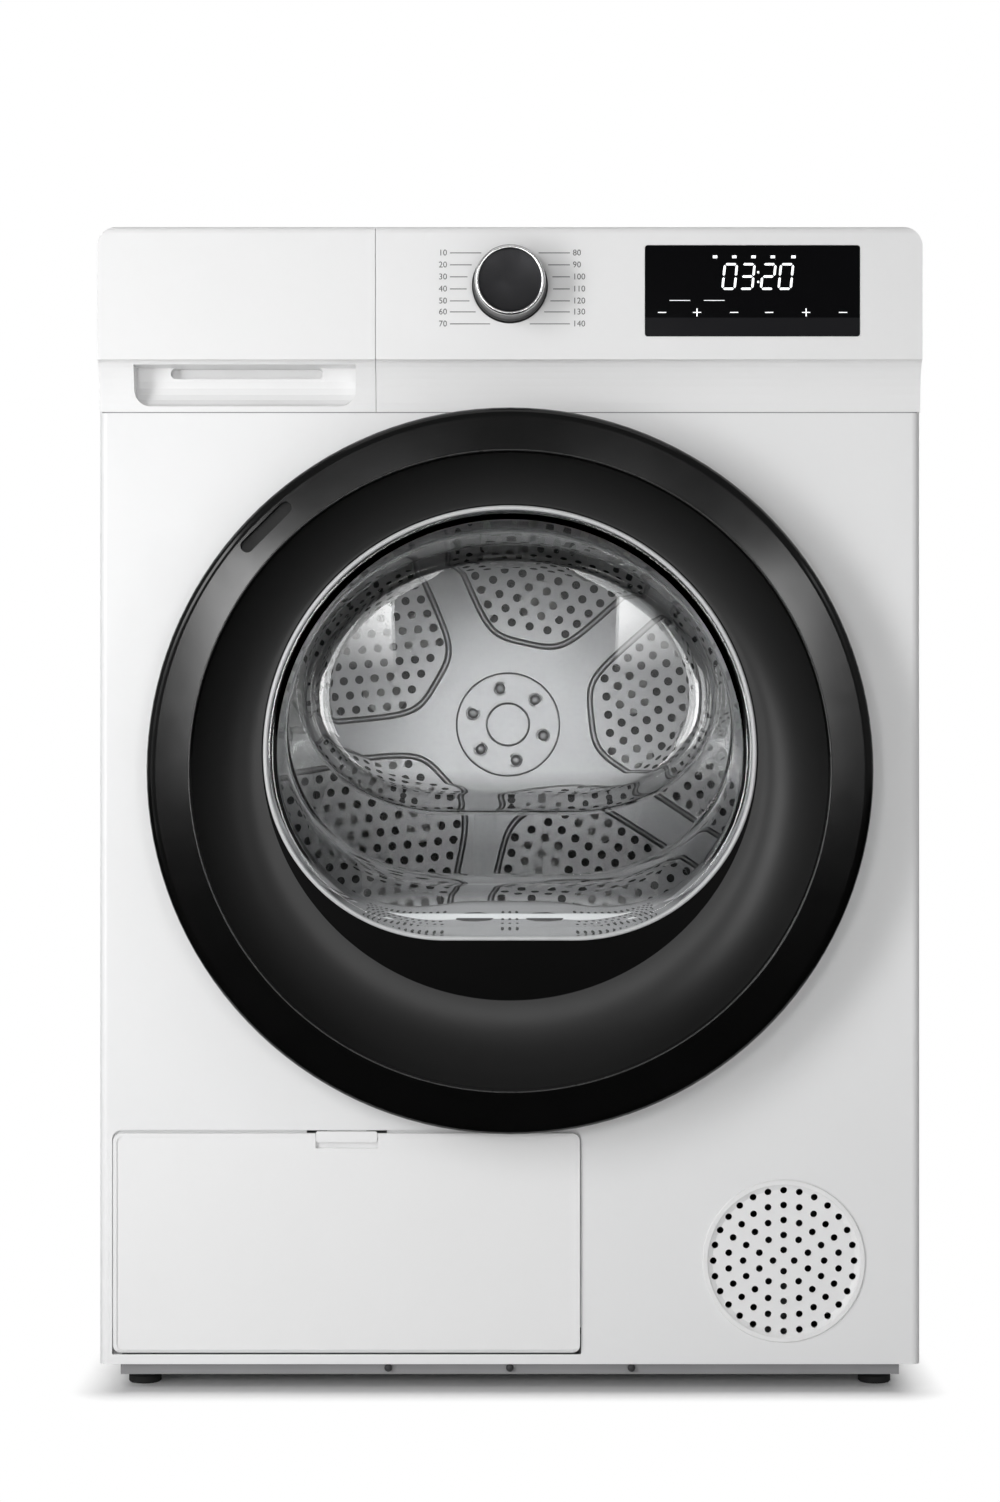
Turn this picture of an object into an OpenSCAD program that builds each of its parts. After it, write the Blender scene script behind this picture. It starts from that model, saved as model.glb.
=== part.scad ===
// Free-standing condenser clothes dryer with a round hinged door, a water-tank drawer,
// a turning drum and its drive, and a service flap. Millimetres, +Z up, front towards -Y,
// origin on the floor under the middle of the whole object.

/* [Cabinet] */
// Width of the cabinet
body_w = 600; // [590:1:620]
// Height from the floor to the top
body_h = 850; // [845:1:880]
// Depth from the front panel to the rear panel
body_d = 600; // [590:1:660]
// Thickness of the sheet steel
sheet_t = 1; // [0.8:0.1:1.4]
// Radius of the upright edges of the front panel
edge_r = 6; // [3:0.5:10]
// Depth of the front panel's side returns
return_d = 20; // [14:1:26]
// Width of the inward flanges of the side panels
flange_w = 14; // [10:1:16]
// Height of the panels' lower edge above the floor
panel_z = 20; // [18:1:24]
// Thickness of the top cover, and radius of its long edges
top_t = 15; // [12:0.5:20]
// Bulge of the rear duct cover behind the rear panel
rear_bulge = 10; // [6:1:16]

/* [Feet and base] */
// Height of the base tray's underside above the floor
tray_z = 12; // [11:0.5:14]
// Set-back of the base tray from the cabinet's sides
tray_inset = 15; // [13:1:20]
// Height of the base tray's walls
tray_h = 28; // [22:1:34]
// Wall of the base tray
tray_t = 3; // [2.5:0.5:4]
// Radius of a levelling foot's pad
foot_r = 12; // [10:0.5:15]
// Height of a levelling foot's pad
foot_h = 7; // [5:0.5:9]
// Radius of a levelling foot's stem
foot_stem_r = 5; // [4:0.5:6]
// Distance of the feet from the cabinet's front and rear
foot_in_y = 40; // [30:1:60]
// Distance of the feet from the cabinet's sides
foot_in_x = 29; // [29:1:45]

/* [Control panel] */
// Height of the control panel
head_h = 133.8; // [131:0.2:133.8]
// Height of the concave cove along its lower edge
cove_h = 36.8; // [32:0.4:38]
// How far its upper face stands in front of the front panel
head_proud = 13; // [10:0.5:16]
// Depth of the control panel behind the front panel
head_d = 34; // [30:1:40]
// Wall of the control panel and the drawer front
head_wall = 3; // [2.5:0.1:3.5]
// Place of the seam between the drawer front and the control panel
seam_x = -98; // [-104:1:-96]
// Radius of the knob's cap
knob_r = 25.5; // [22:0.5:27]
// Depth of the knob's cap
knob_d = 24; // [18:0.5:28]
// Height of the knob's axis below the top
knob_drop = 43.2; // [42:0.2:46]
// Radius of the knob's shaft
knob_shaft_r = 3; // [2.5:0.1:4]
// Left edge of the display
display_x = 98.2; // [90:0.2:106]
// Width of the display
display_w = 156.2; // [140:0.2:166]
// Height of the display
display_h = 66.1; // [60:0.1:70]
// Distance of the display from the top
display_drop = 14.1; // [12:0.1:18]

/* [Water tank] */
// Height of the tank
tank_h = 64; // [50:1:66]
// Length of the tank
tank_l = 480; // [400:5:500]
// Wall of the tank
tank_wall = 2.5; // [2:0.1:3]
// Travel of the drawer
tank_travel = 400; // [300:10:400]
// Width of the finger scoop
scoop_w = 162; // [120:1:168]
// Depth of the finger scoop
scoop_d = 16; // [12:0.5:20]

/* [Door] */
// Least distance of the door's ring from the cabinet's sides
door_side = 38.5; // [38:0.5:42]
// Distance of the ring below the control panel
door_under = 0.7; // [0.7:0.1:4.7]
// Least distance of the ring above the service flap
door_over = 3.5; // [3.5:0.1:6]
// How far the door stands in front of the front panel
door_proud = 45; // [43:0.5:52]
// Gap between the ring's rear edge and the front panel
door_gap = 4.5; // [4.5:0.1:5.5]
// Width of the ring's flat bezel
bezel_w = 31; // [29.5:0.5:33.5]
// Wall of the ring
ring_wall = 2.5; // [2:0.1:3]
// Width of the dish between the bezel and the round window
dish_w = 50.1; // [48.5:0.1:56.5]
// Height of the window's centre above the ring's centre
window_rise = 13.4; // [10:0.2:16]
// How much of the round window its flat lower edge cuts off
window_cut = 42.7; // [38.4:0.1:50.4]
// How much smaller than the window's the radius of its lower corners is
corner_less = 47.4; // [45.4:0.1:70.4]
// Depth of the glass bowl behind the front panel
bowl_d = 120; // [100:1:124]
// Wall of the glass bowl
glass_t = 5; // [4:0.1:6]
// Largest opening angle of the door
door_open = 120; // [90:1:120]
// Radius of the hinge pin
hinge_pin_r = 2.5; // [2:0.1:3]

/* [Drum] */
// Least distance of the drum from the cabinet's sides
drum_side = 16; // [16:0.5:20]
// Least distance of the drum below the top cover
drum_below = 59; // [59:1:70]
// Least distance of the drum above the base module
drum_above = 12; // [12:1:16]
// Height of the drum's axis above the door ring's centre
drum_rise = 38; // [34:1:38]
// Thickness of the drum's sheet
drum_t = 1; // [0.8:0.1:1.4]
// How much smaller than the drum its front neck is in radius
neck_step = 22; // [20:0.5:26]
// Place of the neck's front edge behind the front panel
neck_y = 66; // [64:1:70]
// Room between the drum's rear edge and the rear panel
rear_room = 68; // [66:1:80]
// Thickness of the drum's back
back_t = 2.5; // [2.2:0.1:3]
// Width of the spokes of the drum's back
spoke_w = 35; // [28:0.5:40]
// Direction of the first spoke
spoke_a = 41.6; // [0:0.2:72]
// Radius of the air holes in the drum's back
air_hole_r = 3.75; // [3:0.05:4.2]
// Spacing of the air holes
air_pitch = 14; // [13:0.1:20]
// Radius of the drum's shaft
drum_shaft_r = 10; // [8:0.5:12]
// Height of the lifters
lifter_h = 50; // [36:1:54]
// Radius of the support rollers
roller_r = 30; // [24:0.5:32]
// Radius of the rollers' axles
axle_r = 5; // [4:0.25:6]

/* [Door opening] */
// How much larger than the window the tunnel behind the door is in radius
port_more = 19.6; // [15.6:0.1:21.6]
// How much larger than the bezel's inside the hole in the front panel is in radius
hole_more = 5.5; // [3.5:0.1:5.5]
// Height of the lint filter's top above the window's flat edge
filter_rise = 20.3; // [14.3:0.1:21.3]
// Width of the lint filter
filter_w = 210; // [180:1:216]
// Thickness of the lint filter
filter_d = 28; // [22:1:28]

/* [Drive] */
// Distance of the belt in front of the motor
belt_lead = 30; // [25:1:40]
// Width of the belt
belt_w = 9; // [6:0.5:12]
// Thickness of the belt
belt_t = 2; // [1.5:0.1:2.5]
// Radius of the motor's pulley
pulley_r = 9; // [8:0.25:11]
// Radius of the idler pulley
idler_r = 16; // [13:0.5:17]
// Radius of the motor
motor_r = 50; // [44:0.5:51]
// Radius of the motor's shaft
motor_shaft_r = 6; // [5:0.25:7]
// Radius of the process fan
fan_r = 72; // [64:0.5:74]

/* [Service] */
// Width of the service flap
flap_w = 341; // [320:1:341]
// Height of the service flap
flap_h = 160.6; // [150:0.2:161]
// Left edge of the flap from the cabinet's left side
flap_in = 10.2; // [10:0.2:14]
// Width of the flap's latch tab
latch_w = 44.6; // [36:0.2:52]
// Travel of the latch tab
latch_travel = 3; // [2.4:0.1:3.4]
// Radius of the vent grille
grille_r = 59.5; // [57:0.5:62]
// Radius of the grille's holes
grille_hole_r = 2.5; // [2:0.1:3.2]
// Distance of the grille's centre from the cabinet's right side
grille_in = 99.7; // [96:0.1:104]
// Height of the grille's centre
grille_z = 95.5; // [92:0.5:100]

/* [Hidden] */
$fn = 64;

e = 0.01;            // overshoot of a cut
gap = 0.3;           // running clearance between pieces
fit = 0.05;          // radial clearance of a shaft in its bore
hw = body_w / 2;
front_y = -(body_d + door_proud + rear_bulge) / 2 + door_proud;
back_y = front_y + body_d;
inner_x = hw - sheet_t;

// Control panel
head_z = body_h - head_h;
crease_z = head_z + cove_h;
under_top = body_h - top_t;
knob_z = body_h - knob_drop;
knob_seat = front_y - head_proud + 1;   // flat seat of the knob's ring
ring_h = 4;
ring_r = knob_r + 2;
encoder_h = 8;
display_z = body_h - display_drop - display_h;

// Water tank
tank_top = under_top - 3;
tank_z = tank_top - tank_h;
bay_t = 2.5;
tank_x0 = -inner_x + bay_t + 0.5;
tank_x1 = seam_x - 9;
tank_y = front_y - head_proud + head_wall + gap;
scoop_x = (seam_x - hw) / 2 + 5.5;

// Heights that the door and the drum keep clear of
flap_z0 = panel_z + 8.4;
flap_z1 = flap_z0 + flap_h;
floor_z = tray_z + tray_t;
boss_z = floor_z + 5;
module_z0 = boss_z + gap;
module_z = 196;

// Door
door_r = min(hw - door_side, (head_z - door_under - door_over - flap_z1) / 2);
door_z = head_z - door_under - door_r;
bezel_r = door_r - bezel_w;
window_r = bezel_r - dish_w;
window_drop = window_r - window_cut;
window_corner_r = window_r - corner_less;
window_z = door_z + window_rise;
port_r = window_r + port_more;
panel_hole_r = bezel_r + hole_more;
filter_z = window_z - window_drop + filter_rise;
lip_z = window_z - window_drop - 1;
lip_w = filter_w + 40;
hinge_x = door_r - 11;
hinge_y = front_y - 25;
barrel_r = hinge_pin_r + 2.5;
leaf_h = 32;            // half height of the door's hinge barrel
lug_h = 12;
lug_hw = 4;
frame_y = 5;            // rear face of the door's inner frame, proud of the panel
frame_t = 3;
rim_y = 9;              // front face of the glass rim, proud of the panel
latch_x = -(door_r - 15);
grip_mid = (bezel_r + door_r) / 2 + 1.5;

// Drum
drum_r = min(hw - drum_side, (under_top - drum_below - drum_above - module_z) / 2);
drum_z = door_z + drum_rise;
neck_r = drum_r - neck_step;
drum_end = body_d - rear_room;
plate_y = 56;           // front bulkhead plate behind the front panel
plate_t = 3;
lip_r = neck_r - 12;
rear_plate_y = drum_end + 14;
roller_a = 35;
roller_far = neck_r + roller_r + gap + 0.1;
roller_x = roller_far * sin(roller_a);
roller_z = drum_z - roller_far * cos(roller_a);
roller_w = 18;
roller_y = neck_y + 5;
hub_r = 47;
sector_r0 = 75;
sector_r1 = neck_r - 12;

// Lint filter
filter_y = 26;

// Drive
motor_x = 110;
motor_z = 112;
motor_l = 95;
fan_l = 38;
fan_y = drum_end - 20 - fan_l;
motor_y = fan_y - motor_l - 44;
belt_y = motor_y - belt_lead;
idler_off = 60;
belt_gap = 0.3;
reach = sqrt(pow(motor_x, 2) + pow(drum_z - motor_z, 2));
reach_a = atan2(motor_z - drum_z, motor_x);
wrap_a = acos((drum_r - pulley_r) / reach);
left_n = [cos(reach_a - wrap_a), sin(reach_a - wrap_a)];
left_t = [-left_n[1], left_n[0]];
drum_tangent = [0, drum_z] + (drum_r + belt_gap) * left_n;
pulley_tangent = [motor_x, motor_z] + (pulley_r + belt_gap) * left_n;
idler_c = drum_tangent + 0.8 * (pulley_tangent - drum_tangent)
  + (belt_t + gap + idler_r) * left_n;
idler_pivot = idler_c + idler_off * left_t;

// Door window
corner_out = 0.2;

// Base module
tray_x = hw - tray_inset;
channel_x0 = -tray_x + tray_t + gap;
channel_x1 = -70;
plenum_x1 = filter_w / 2 + 10;
channel_end = fan_y - 39;
coil_y = 80;
shell_t = 2.5;
cover_y = 18;
cover_t = 5;
cover_lap = 8;
cover_x0 = channel_x0 + shell_t + 4;
cover_z0 = floor_z + 24;
cover_z1 = module_z - 19;
lever_in = 26;

// Service flap
flap_x0 = -hw + flap_in;
flap_x1 = flap_x0 + flap_w;
cover_x1 = flap_x1 - 18;
flap_gap = 1;
flap_head_gap = 2;
flap_axis_y = front_y + 5;
flap_axis_z = flap_z0 + 6.6;
flap_pin_r = 2;
flap_t = 3;
arm_w = 8;
latch_x0 = (flap_x0 + flap_x1 - latch_w) / 2;
latch_h = 8;
latch_nose_lap = 0.9;
latch_nose_slope = 0.72;
fan_x = hw - grille_in;

// A point at a distance from another in a direction
function polar(r, a) = [r * cos(a), r * sin(a)];

// An outline in X and Z, given depth from y0 towards the rear
module slab(y0, t) {
  translate([0, y0 + t, 0]) rotate([90, 0, 0]) linear_extrude(t) children();
}

// An outline in Y and Z, given width from x0 to the right
module bar(x0, w) {
  translate([x0, 0, 0]) rotate([90, 0, 90]) linear_extrude(w) children();
}

// A round rod along Y
module rod(x, z, y0, l, r) {
  translate([x, y0, z]) rotate([-90, 0, 0]) cylinder(h = l, r = r);
}

// A profile of radius and depth turned about an axis along Y
module turned(x, z, y0) {
  translate([x, y0, z]) rotate([-90, 0, 0]) rotate_extrude() children();
}

module block(x0, x1, y0, y1, z0, z1) {
  translate([x0, y0, z0]) cube([x1 - x0, y1 - y0, z1 - z0]);
}

// A rectangle with round corners
module round_rect(x0, x1, z0, z1, r) {
  translate([x0 + r, z0]) square([x1 - x0 - 2 * r, z1 - z0]);
  translate([x0, z0 + r]) square([x1 - x0, z1 - z0 - 2 * r]);
  for (x = [x0 + r, x1 - r], z = [z0 + r, z1 - r]) translate([x, z]) circle(r);
}

module both_sides() {
  children();
  mirror([1, 0, 0]) children();
}

// ---- Cabinet ----

module base_tray() {
  y0 = front_y + 4;
  y1 = back_y - sheet_t - 2;
  color("dimgray") difference() {
    union() {
      block(-tray_x, tray_x, y0, y1, tray_z, floor_z);
      difference() {
        block(-tray_x, tray_x, y0, y1, tray_z, tray_z + tray_h);
        block(-tray_x + tray_t, tray_x - tray_t, y0 + tray_t, y1 - tray_t, tray_z - e, body_h);
        block(flap_x0, flap_x1, y0 - e, front_y + 16, panel_z + 2, body_h);
      }
      // Ledges that the side panels' lower flanges carry
      both_sides() block(tray_x - e, inner_x - gap, y0 + 20, y1, panel_z + sheet_t,
        panel_z + sheet_t + tray_t);
      // Stiffening ribs
      for (i = [1:5]) block(channel_x1 + 6, tray_x - 1, y0 + i * 96, y0 + i * 96 + 2.5,
        floor_z - e, floor_z + 5);
      foot_places() cylinder(h = boss_z - tray_z, r = foot_stem_r + 5);
      // Ears of the flap's hinge
      for (x = [flap_x0 + 14 + arm_w + gap, flap_x1 - 14 - arm_w - gap - 4])
        bar(x, 4) flap_ear();
      // Pedestal of the cooling fan's motor
      block(fan_x - 12, fan_x + 12, front_y + 66, front_y + 86, floor_z - e, grille_z - 20.3);
    }
    foot_places() translate([0, 0, -1]) cylinder(h = 20, r = foot_stem_r + fit);
    for (x = [flap_x0 + 14 + arm_w, flap_x1 - 14 - arm_w - 5])
      translate([x, flap_axis_y, flap_axis_z]) rotate([0, 90, 0])
        cylinder(h = 6, r = flap_pin_r + fit);
  }
}

module foot_places() {
  for (x = [-1, 1], y = [front_y + foot_in_y, back_y - foot_in_y])
    translate([x * (hw - foot_in_x), y, tray_z]) children();
}

// Ear in Y and Z: an arm back from the hinge axis, then down to the tray
module flap_ear() {
  translate([flap_axis_y, flap_axis_z]) circle(3);
  translate([flap_axis_y, flap_axis_z - 3]) square([16, 6]);
  translate([flap_axis_y + 12, floor_z - e]) square([4, flap_axis_z - floor_z]);
}

module foot(x, y) {
  color("black") translate([x, y, 0]) union() {
    rotate_extrude() polygon([[0, 0], [foot_r - 1, 0], [foot_r, 1], [foot_r, foot_h - 2],
      [foot_r - 2, foot_h], [0, foot_h]]);
    cylinder(h = boss_z - gap, r = foot_stem_r);
  }
}

module side_panel() {
  y0 = front_y + return_d + 0.4;
  y1 = back_y - sheet_t;
  field = [y0 + 55, y1 - 55, panel_z + 70, head_z - 20];
  difference() {
    union() {
      block(inner_x, hw, y0, y1, panel_z, under_top);
      for (y = [y0, y1 - sheet_t])
        block(hw - flange_w, hw, y, y + sheet_t, panel_z, under_top);
      for (z = [panel_z, under_top - sheet_t])
        block(hw - flange_w, hw, y0, y1, z, z + sheet_t);
      // Back of the pressed field
      bar(inner_x - 1.2, 1.3) round_rect(field[0] - 2, field[1] + 2, field[2] - 2,
        field[3] + 2, 26);
    }
    bar(hw - 1.2, 2) round_rect(field[0], field[1], field[2], field[3], 24);
    // Room for the control panel and the drawer front
    block(hw - 20, hw + 1, y0 - 1, front_y + head_d + 0.4, head_z - gap, body_h);
  }
}

module left_side_panel() {
  color("white") mirror([1, 0, 0]) side_panel();
}

module right_side_panel() {
  color("white") side_panel();
}

module rear_panel() {
  x1 = hw - 2;
  y0 = back_y - sheet_t;
  color("lightgray") difference() {
    union() {
      block(-x1, x1, y0, back_y, panel_z, under_top);
      block(-x1 + flange_w + 4, x1 - flange_w - 4, y0 - 12, back_y, under_top - sheet_t, under_top);
      // Inlet gland of the mains cord and spigot of the drain hose
      rod(x1 - 50, under_top - 115, y0, sheet_t + 6, 11);
      rod(-x1 + 38, 150, y0 - 12, sheet_t + 20, 7);
    }
    rod(0, drum_z, y0 - 1, 3, drum_r - 44);
    rod(x1 - 50, under_top - 115, y0 - 1, 12, 4.5);
    rod(-x1 + 38, 150, y0 - 13, 40, 5);
    // Cooling louvres
    for (i = [0:9], x = [x1 - 148, x1 - 83])
      slab(y0 - 1, 4) round_rect(x, x + 52, 48 + i * 11, 52 + i * 11, 1.9);
    for (i = [0:6])
      slab(y0 - 1, 4) round_rect(-130, -60, 48 + i * 11, 52 + i * 11, 1.9);
  }
}

module rear_duct_cover() {
  r0 = drum_r - 44;
  color("silver") turned(0, drum_z, back_y) polygon([
    [0, rear_bulge - sheet_t], [r0 - 22, rear_bulge - sheet_t], [r0 - 12, 0],
    [r0 + 18, 0], [r0 + 18, sheet_t], [r0 - 11.3, sheet_t], [r0 - 20, rear_bulge - 0.6],
    [r0 - 60, rear_bulge], [0, rear_bulge]
  ]);
}

// Outline of the head in X and Z, with round upper corners
module head_outline(w) {
  r = top_t - w;
  translate([-hw + w, head_z + w]) square([body_w - 2 * w, head_h - top_t - w]);
  translate([-hw + top_t, head_z + w]) square([body_w - 2 * top_t, head_h - 2 * w]);
  for (x = [-1, 1]) translate([x * (hw - top_t), body_h - top_t]) circle(r);
}

module top_cover() {
  y0 = front_y + head_d + 0.4;
  color("white") difference() {
    intersection() {
      slab(y0, back_y - y0) head_outline(0);
      block(-hw, hw, y0, back_y, under_top, body_h);
    }
    // Hollow underside of the frame
    block(-hw + 30, hw - 30, y0 + 20, back_y - 24, under_top - e, under_top + 5);
  }
}

module front_panel() {
  color("white") difference() {
    union() {
      translate([0, 0, panel_z]) linear_extrude(head_z - panel_z) difference() {
        panel_plan(0);
        panel_plan(sheet_t);
      }
      both_sides() block(hw - flange_w, hw - sheet_t / 2, front_y + return_d - sheet_t,
        front_y + return_d, panel_z, head_z);
      block(-hw + edge_r, hw - edge_r, front_y + sheet_t / 2, front_y + return_d - 2,
        head_z - sheet_t, head_z);
      block(-hw + edge_r, hw - edge_r, front_y + sheet_t / 2, front_y + 4 - gap,
        panel_z, panel_z + sheet_t);
    }
    rod(0, door_z, front_y - 5, 12, panel_hole_r);
    slab(front_y - 5, 12) {
      round_rect(flap_x0 - flap_gap, flap_x1 + flap_gap, flap_z0 + 20, flap_z1 + flap_head_gap,
        7);
      round_rect(flap_x0 - flap_gap, flap_x1 + flap_gap, flap_z0 - 1.3, flap_z1 - 20, 1.2);
    }
    rod(fan_x, grille_z, front_y - 5, 12, grille_r - 2.5);
    // Slots for the hinge lugs and the latch hook
    for (s = [-1, 1]) slab(front_y - 5, 12)
      translate([hinge_x - lug_hw - 1, door_z + s * (leaf_h + 1 + lug_h / 2) - lug_h / 2 - 1])
        square([2 * lug_hw + 2, lug_h + 2]);
    slab(front_y - 5, 12) translate([latch_x - 9.5, door_z - 14]) square([16, 28]);
  }
}

// Plan of the front panel, inset by w
module panel_plan(w) {
  r = edge_r - w;
  translate([-hw + w, front_y + edge_r]) square([body_w - 2 * w, return_d - edge_r + w]);
  translate([-hw + edge_r, front_y + w]) square([body_w - 2 * edge_r, return_d]);
  for (x = [-1, 1]) translate([x * (hw - edge_r), front_y + edge_r]) circle(r);
}

module vent_grille() {
  r = grille_r;
  color("whitesmoke") difference() {
    turned(fan_x, grille_z, front_y) polygon([
      [0, 1], [r - 7.5, 1], [r - 4.5, -0.6], [r - 3.5, -1.6], [r - 0.6, -1.6], [r, -1],
      [r, -e], [r - 2.8, -e], [r - 2.8, 3.6], [r - 4.4, 3.6], [r - 4.4, 2.6], [0, 2.6]
    ]);
    for (ring = [0:4], i = [0:4 + 6 * ring - 1])
      let (p = polar(7.75 + 10.95 * ring, 90 + i * 360 / (4 + 6 * ring)))
        rod(fan_x + p[0], grille_z + p[1], front_y - 3, 9, grille_hole_r);
  }
}

// ---- Control panel and drawer ----

// Front face of the head in Y and Z, from the seam over the cove and up to the top
function head_face(w) = concat(
  [for (i = [0:9]) let (a = i * 10)
    [front_y + w - head_proud * (1 - cos(a)), head_z + cove_h * sin(a)]],
  [for (i = [0:4]) let (a = i * 22.5)
    [front_y + w - head_proud + 5 * (1 - cos(a)), body_h - 5 + 5 * sin(a)]]
);

module head_profile(w) {
  polygon(concat([[front_y + head_d, head_z]], head_face(w), [[front_y + head_d, body_h]]));
}

// Shell between two upright ends
module head_shell(x0, x1) {
  difference() {
    intersection() {
      bar(x0, x1 - x0) head_profile(0);
      slab(front_y - 40, 100) head_outline(0);
    }
    intersection() {
      bar(x0 + head_wall, x1 - x0 - 2 * head_wall) difference() {
        head_profile(head_wall);
        translate([front_y - 50, head_z - e]) square([120, head_wall]);
        translate([front_y - 50, body_h - head_wall]) square([120, head_wall + 1]);
      }
      slab(front_y - 40, 100) head_outline(head_wall);
    }
    // Open back
    slab(front_y + head_d - 1, 2) intersection() {
      head_outline(head_wall);
      translate([x0 + head_wall, head_z]) square([x1 - x0 - 2 * head_wall, head_h]);
    }
  }
}

module control_panel() {
  color("white") difference() {
    head_shell(seam_x + 0.4, hw);
    rod(0, knob_z, front_y - 40, 41 - head_proud, ring_r + 0.3);
    rod(0, knob_z, front_y - 40, 50, knob_shaft_r + 5);
    slab(front_y - 40, 42.2 - head_proud) round_rect(display_x - 0.2, display_x + display_w + 0.2,
      display_z - 0.2, display_z + display_h + 0.2, 2.2);
    slab(front_y - 40, 60) round_rect(display_x + 8, display_x + display_w - 8,
      display_z + 8, display_z + display_h - 8, 2);
  }
}

module display_glass() {
  color("black") slab(front_y - head_proud - 0.3, 2.5 - e)
    round_rect(display_x, display_x + display_w, display_z, display_z + display_h, 2);
}

module control_board() {
  y0 = front_y - head_proud + head_wall;   // inner face of the panel's wall
  color("darkgreen") difference() {
    union() {
      block(-40, display_x + display_w + 18, y0 + 8, y0 + 9.6, display_z - 4, under_top + 4);
      for (x = [-32, 40, display_x + display_w + 10], z = [display_z + 2, under_top - 2])
        rod(x, z, y0, 8 + e, 3);
      block(display_x + 9, display_x + display_w - 9, y0 + 1, y0 + 8 + e,
        display_z + 9, display_z + display_h - 9);
      rod(0, knob_z, y0 + 0.5, 7.5 + e, knob_shaft_r + 4);
      for (x = [30, 62, 94]) block(x, x + 22, y0 + 9.6 - e, y0 + 14, knob_z - 20, knob_z + 12);
    }
    rod(0, knob_z, y0 - 1, 20, knob_shaft_r + fit);
  }
}

module knob_ring() {
  color("black") turned(0, knob_z, knob_seat - ring_h) polygon([
    [knob_shaft_r + 4, ring_h], [knob_shaft_r + 4, 1], [ring_r - 1.2, 0],
    [ring_r, 1.2], [ring_r, ring_h]
  ]);
}

module knob() {
  y0 = knob_seat - ring_h - 0.5 - knob_d;
  color("gray") turned(0, knob_z, y0) polygon([
    [0, 0.8], [knob_r - 3, 0.8], [knob_r - 1.8, 0], [knob_r, 1.8], [knob_r, knob_d - 5],
    [ring_r - 0.8, knob_d - 1], [ring_r - 0.8, knob_d], [knob_shaft_r, knob_d],
    [knob_shaft_r, knob_d + ring_h + 10], [0, knob_d + ring_h + 10]
  ]);
}

// Hollow for the fingers: its outline in X and Z and its depth in Y and Z, both grown by w
module scoop(w) {
  z0 = head_z + 4 - w;
  z1 = crease_z - 3;
  d = scoop_d + w;
  intersection() {
    slab(front_y - 40, 100)
      round_rect(scoop_x - scoop_w / 2 - w, scoop_x + scoop_w / 2 + w, z0, z1 + 20, 12 + w);
    bar(-hw, body_w) polygon(concat(
      [[front_y - 40, z0]],
      [for (i = [0:6]) let (a = i * 15) [front_y + d * sin(a), z0 + 20 * (1 - cos(a))]],
      [[front_y + d, z1 + w], [front_y - 40, z1 + w]]
    ));
  }
  // Slot behind the crease that the fingertips hook into
  slab(front_y - 8, 8 + d + 10)
    round_rect(scoop_x - scoop_w / 2 + 25 - w, scoop_x + scoop_w / 2 - 25 + w,
      crease_z - 11 - w, crease_z - 3 + w, 3.9);
}

module drawer_front() {
  color("white") difference() {
    union() {
      head_shell(-hw, seam_x);
      intersection() {
        scoop(head_wall);
        bar(-hw + 1, seam_x + hw - 2) head_profile(1);
      }
    }
    scoop(0);
  }
}

module water_tank() {
  w = tank_wall;
  y1 = tank_y + tank_l;
  spout_x = (tank_x0 + tank_x1) / 2;
  color("lightgray") difference() {
    union() {
      slab(tank_y, tank_l) round_rect(tank_x0, tank_x1, tank_z, tank_top - 2, 9);
      translate([spout_x, y1 - 40, tank_top - 3]) cylinder(h = 3, r = 16);
    }
    difference() {
      slab(tank_y + w, tank_l - 2 * w)
        round_rect(tank_x0 + w, tank_x1 - w, tank_z + w, tank_top - 2 - w, 9 - w);
      slab(tank_y + 140 - w, 90 + 2 * w) translate([spout_x, tank_z - 12]) circle(18 + w);
    }
    translate([spout_x, y1 - 40, tank_top - 10]) cylinder(h = 20, r = 12);
    // Grip hollow in the floor, to pour with
    slab(tank_y + 140, 90) translate([spout_x, tank_z - 12]) circle(18);
  }
}

module tank_bay() {
  y0 = front_y + head_d + 3;
  y1 = tank_y + tank_l + 12;
  x1 = tank_x1 + 0.5 + bay_t;
  z0 = tank_z - 0.5 - bay_t;
  color("gainsboro") union() {
    difference() {
      block(-inner_x, x1, y0, y1, z0, tank_top - 8);
      block(-inner_x + bay_t, x1 - bay_t, y0 - 1, y1 - bay_t, z0 + bay_t, body_h);
    }
    // Filling elbow over the tank's mouth
    translate([(tank_x0 + tank_x1) / 2, y1 - 52, tank_top + 0.4]) cylinder(h = 2.4, r = 9);
    block((tank_x0 + tank_x1) / 2 - 9, (tank_x0 + tank_x1) / 2 + 9, y1 - 52, y1,
      tank_top + 0.4, tank_top + 2.8);
    block((tank_x0 + tank_x1) / 2 - 9, (tank_x0 + tank_x1) / 2 + 9, y1 - bay_t, y1,
      tank_top - 9, tank_top + 2.8);
  }
}

// ---- Door ----

// Round window with a flat lower edge, grown by w. Its corner arcs stand corner_out wide of a true
// tangent, so that they cross the large arc at a clean angle.
module window_outline(w) {
  r = window_r + w;
  c = window_corner_r + w;
  cz = c - window_drop - w;
  cx = sqrt(pow(r - c, 2) - cz * cz) + corner_out;
  translate([0, window_z]) intersection() {
    circle(r);
    union() {
      translate([-2 * r, cz]) square([4 * r, 2 * r]);
      for (x = [-cx, cx]) translate([x, cz]) circle(c);
      translate([-cx, -window_drop - w]) square([2 * cx, c + 1]);
    }
  }
}

// Box that the hinge lugs sweep when the door opens
module lug_sweep() {
  for (s = [-1, 1]) {
    z = door_z + s * (leaf_h + 1 + lug_h / 2);
    block(hinge_x - lug_hw - 1.6, hw, front_y - 36, front_y, z - lug_h / 2 - 1, z + lug_h / 2 + 1);
  }
}

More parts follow.
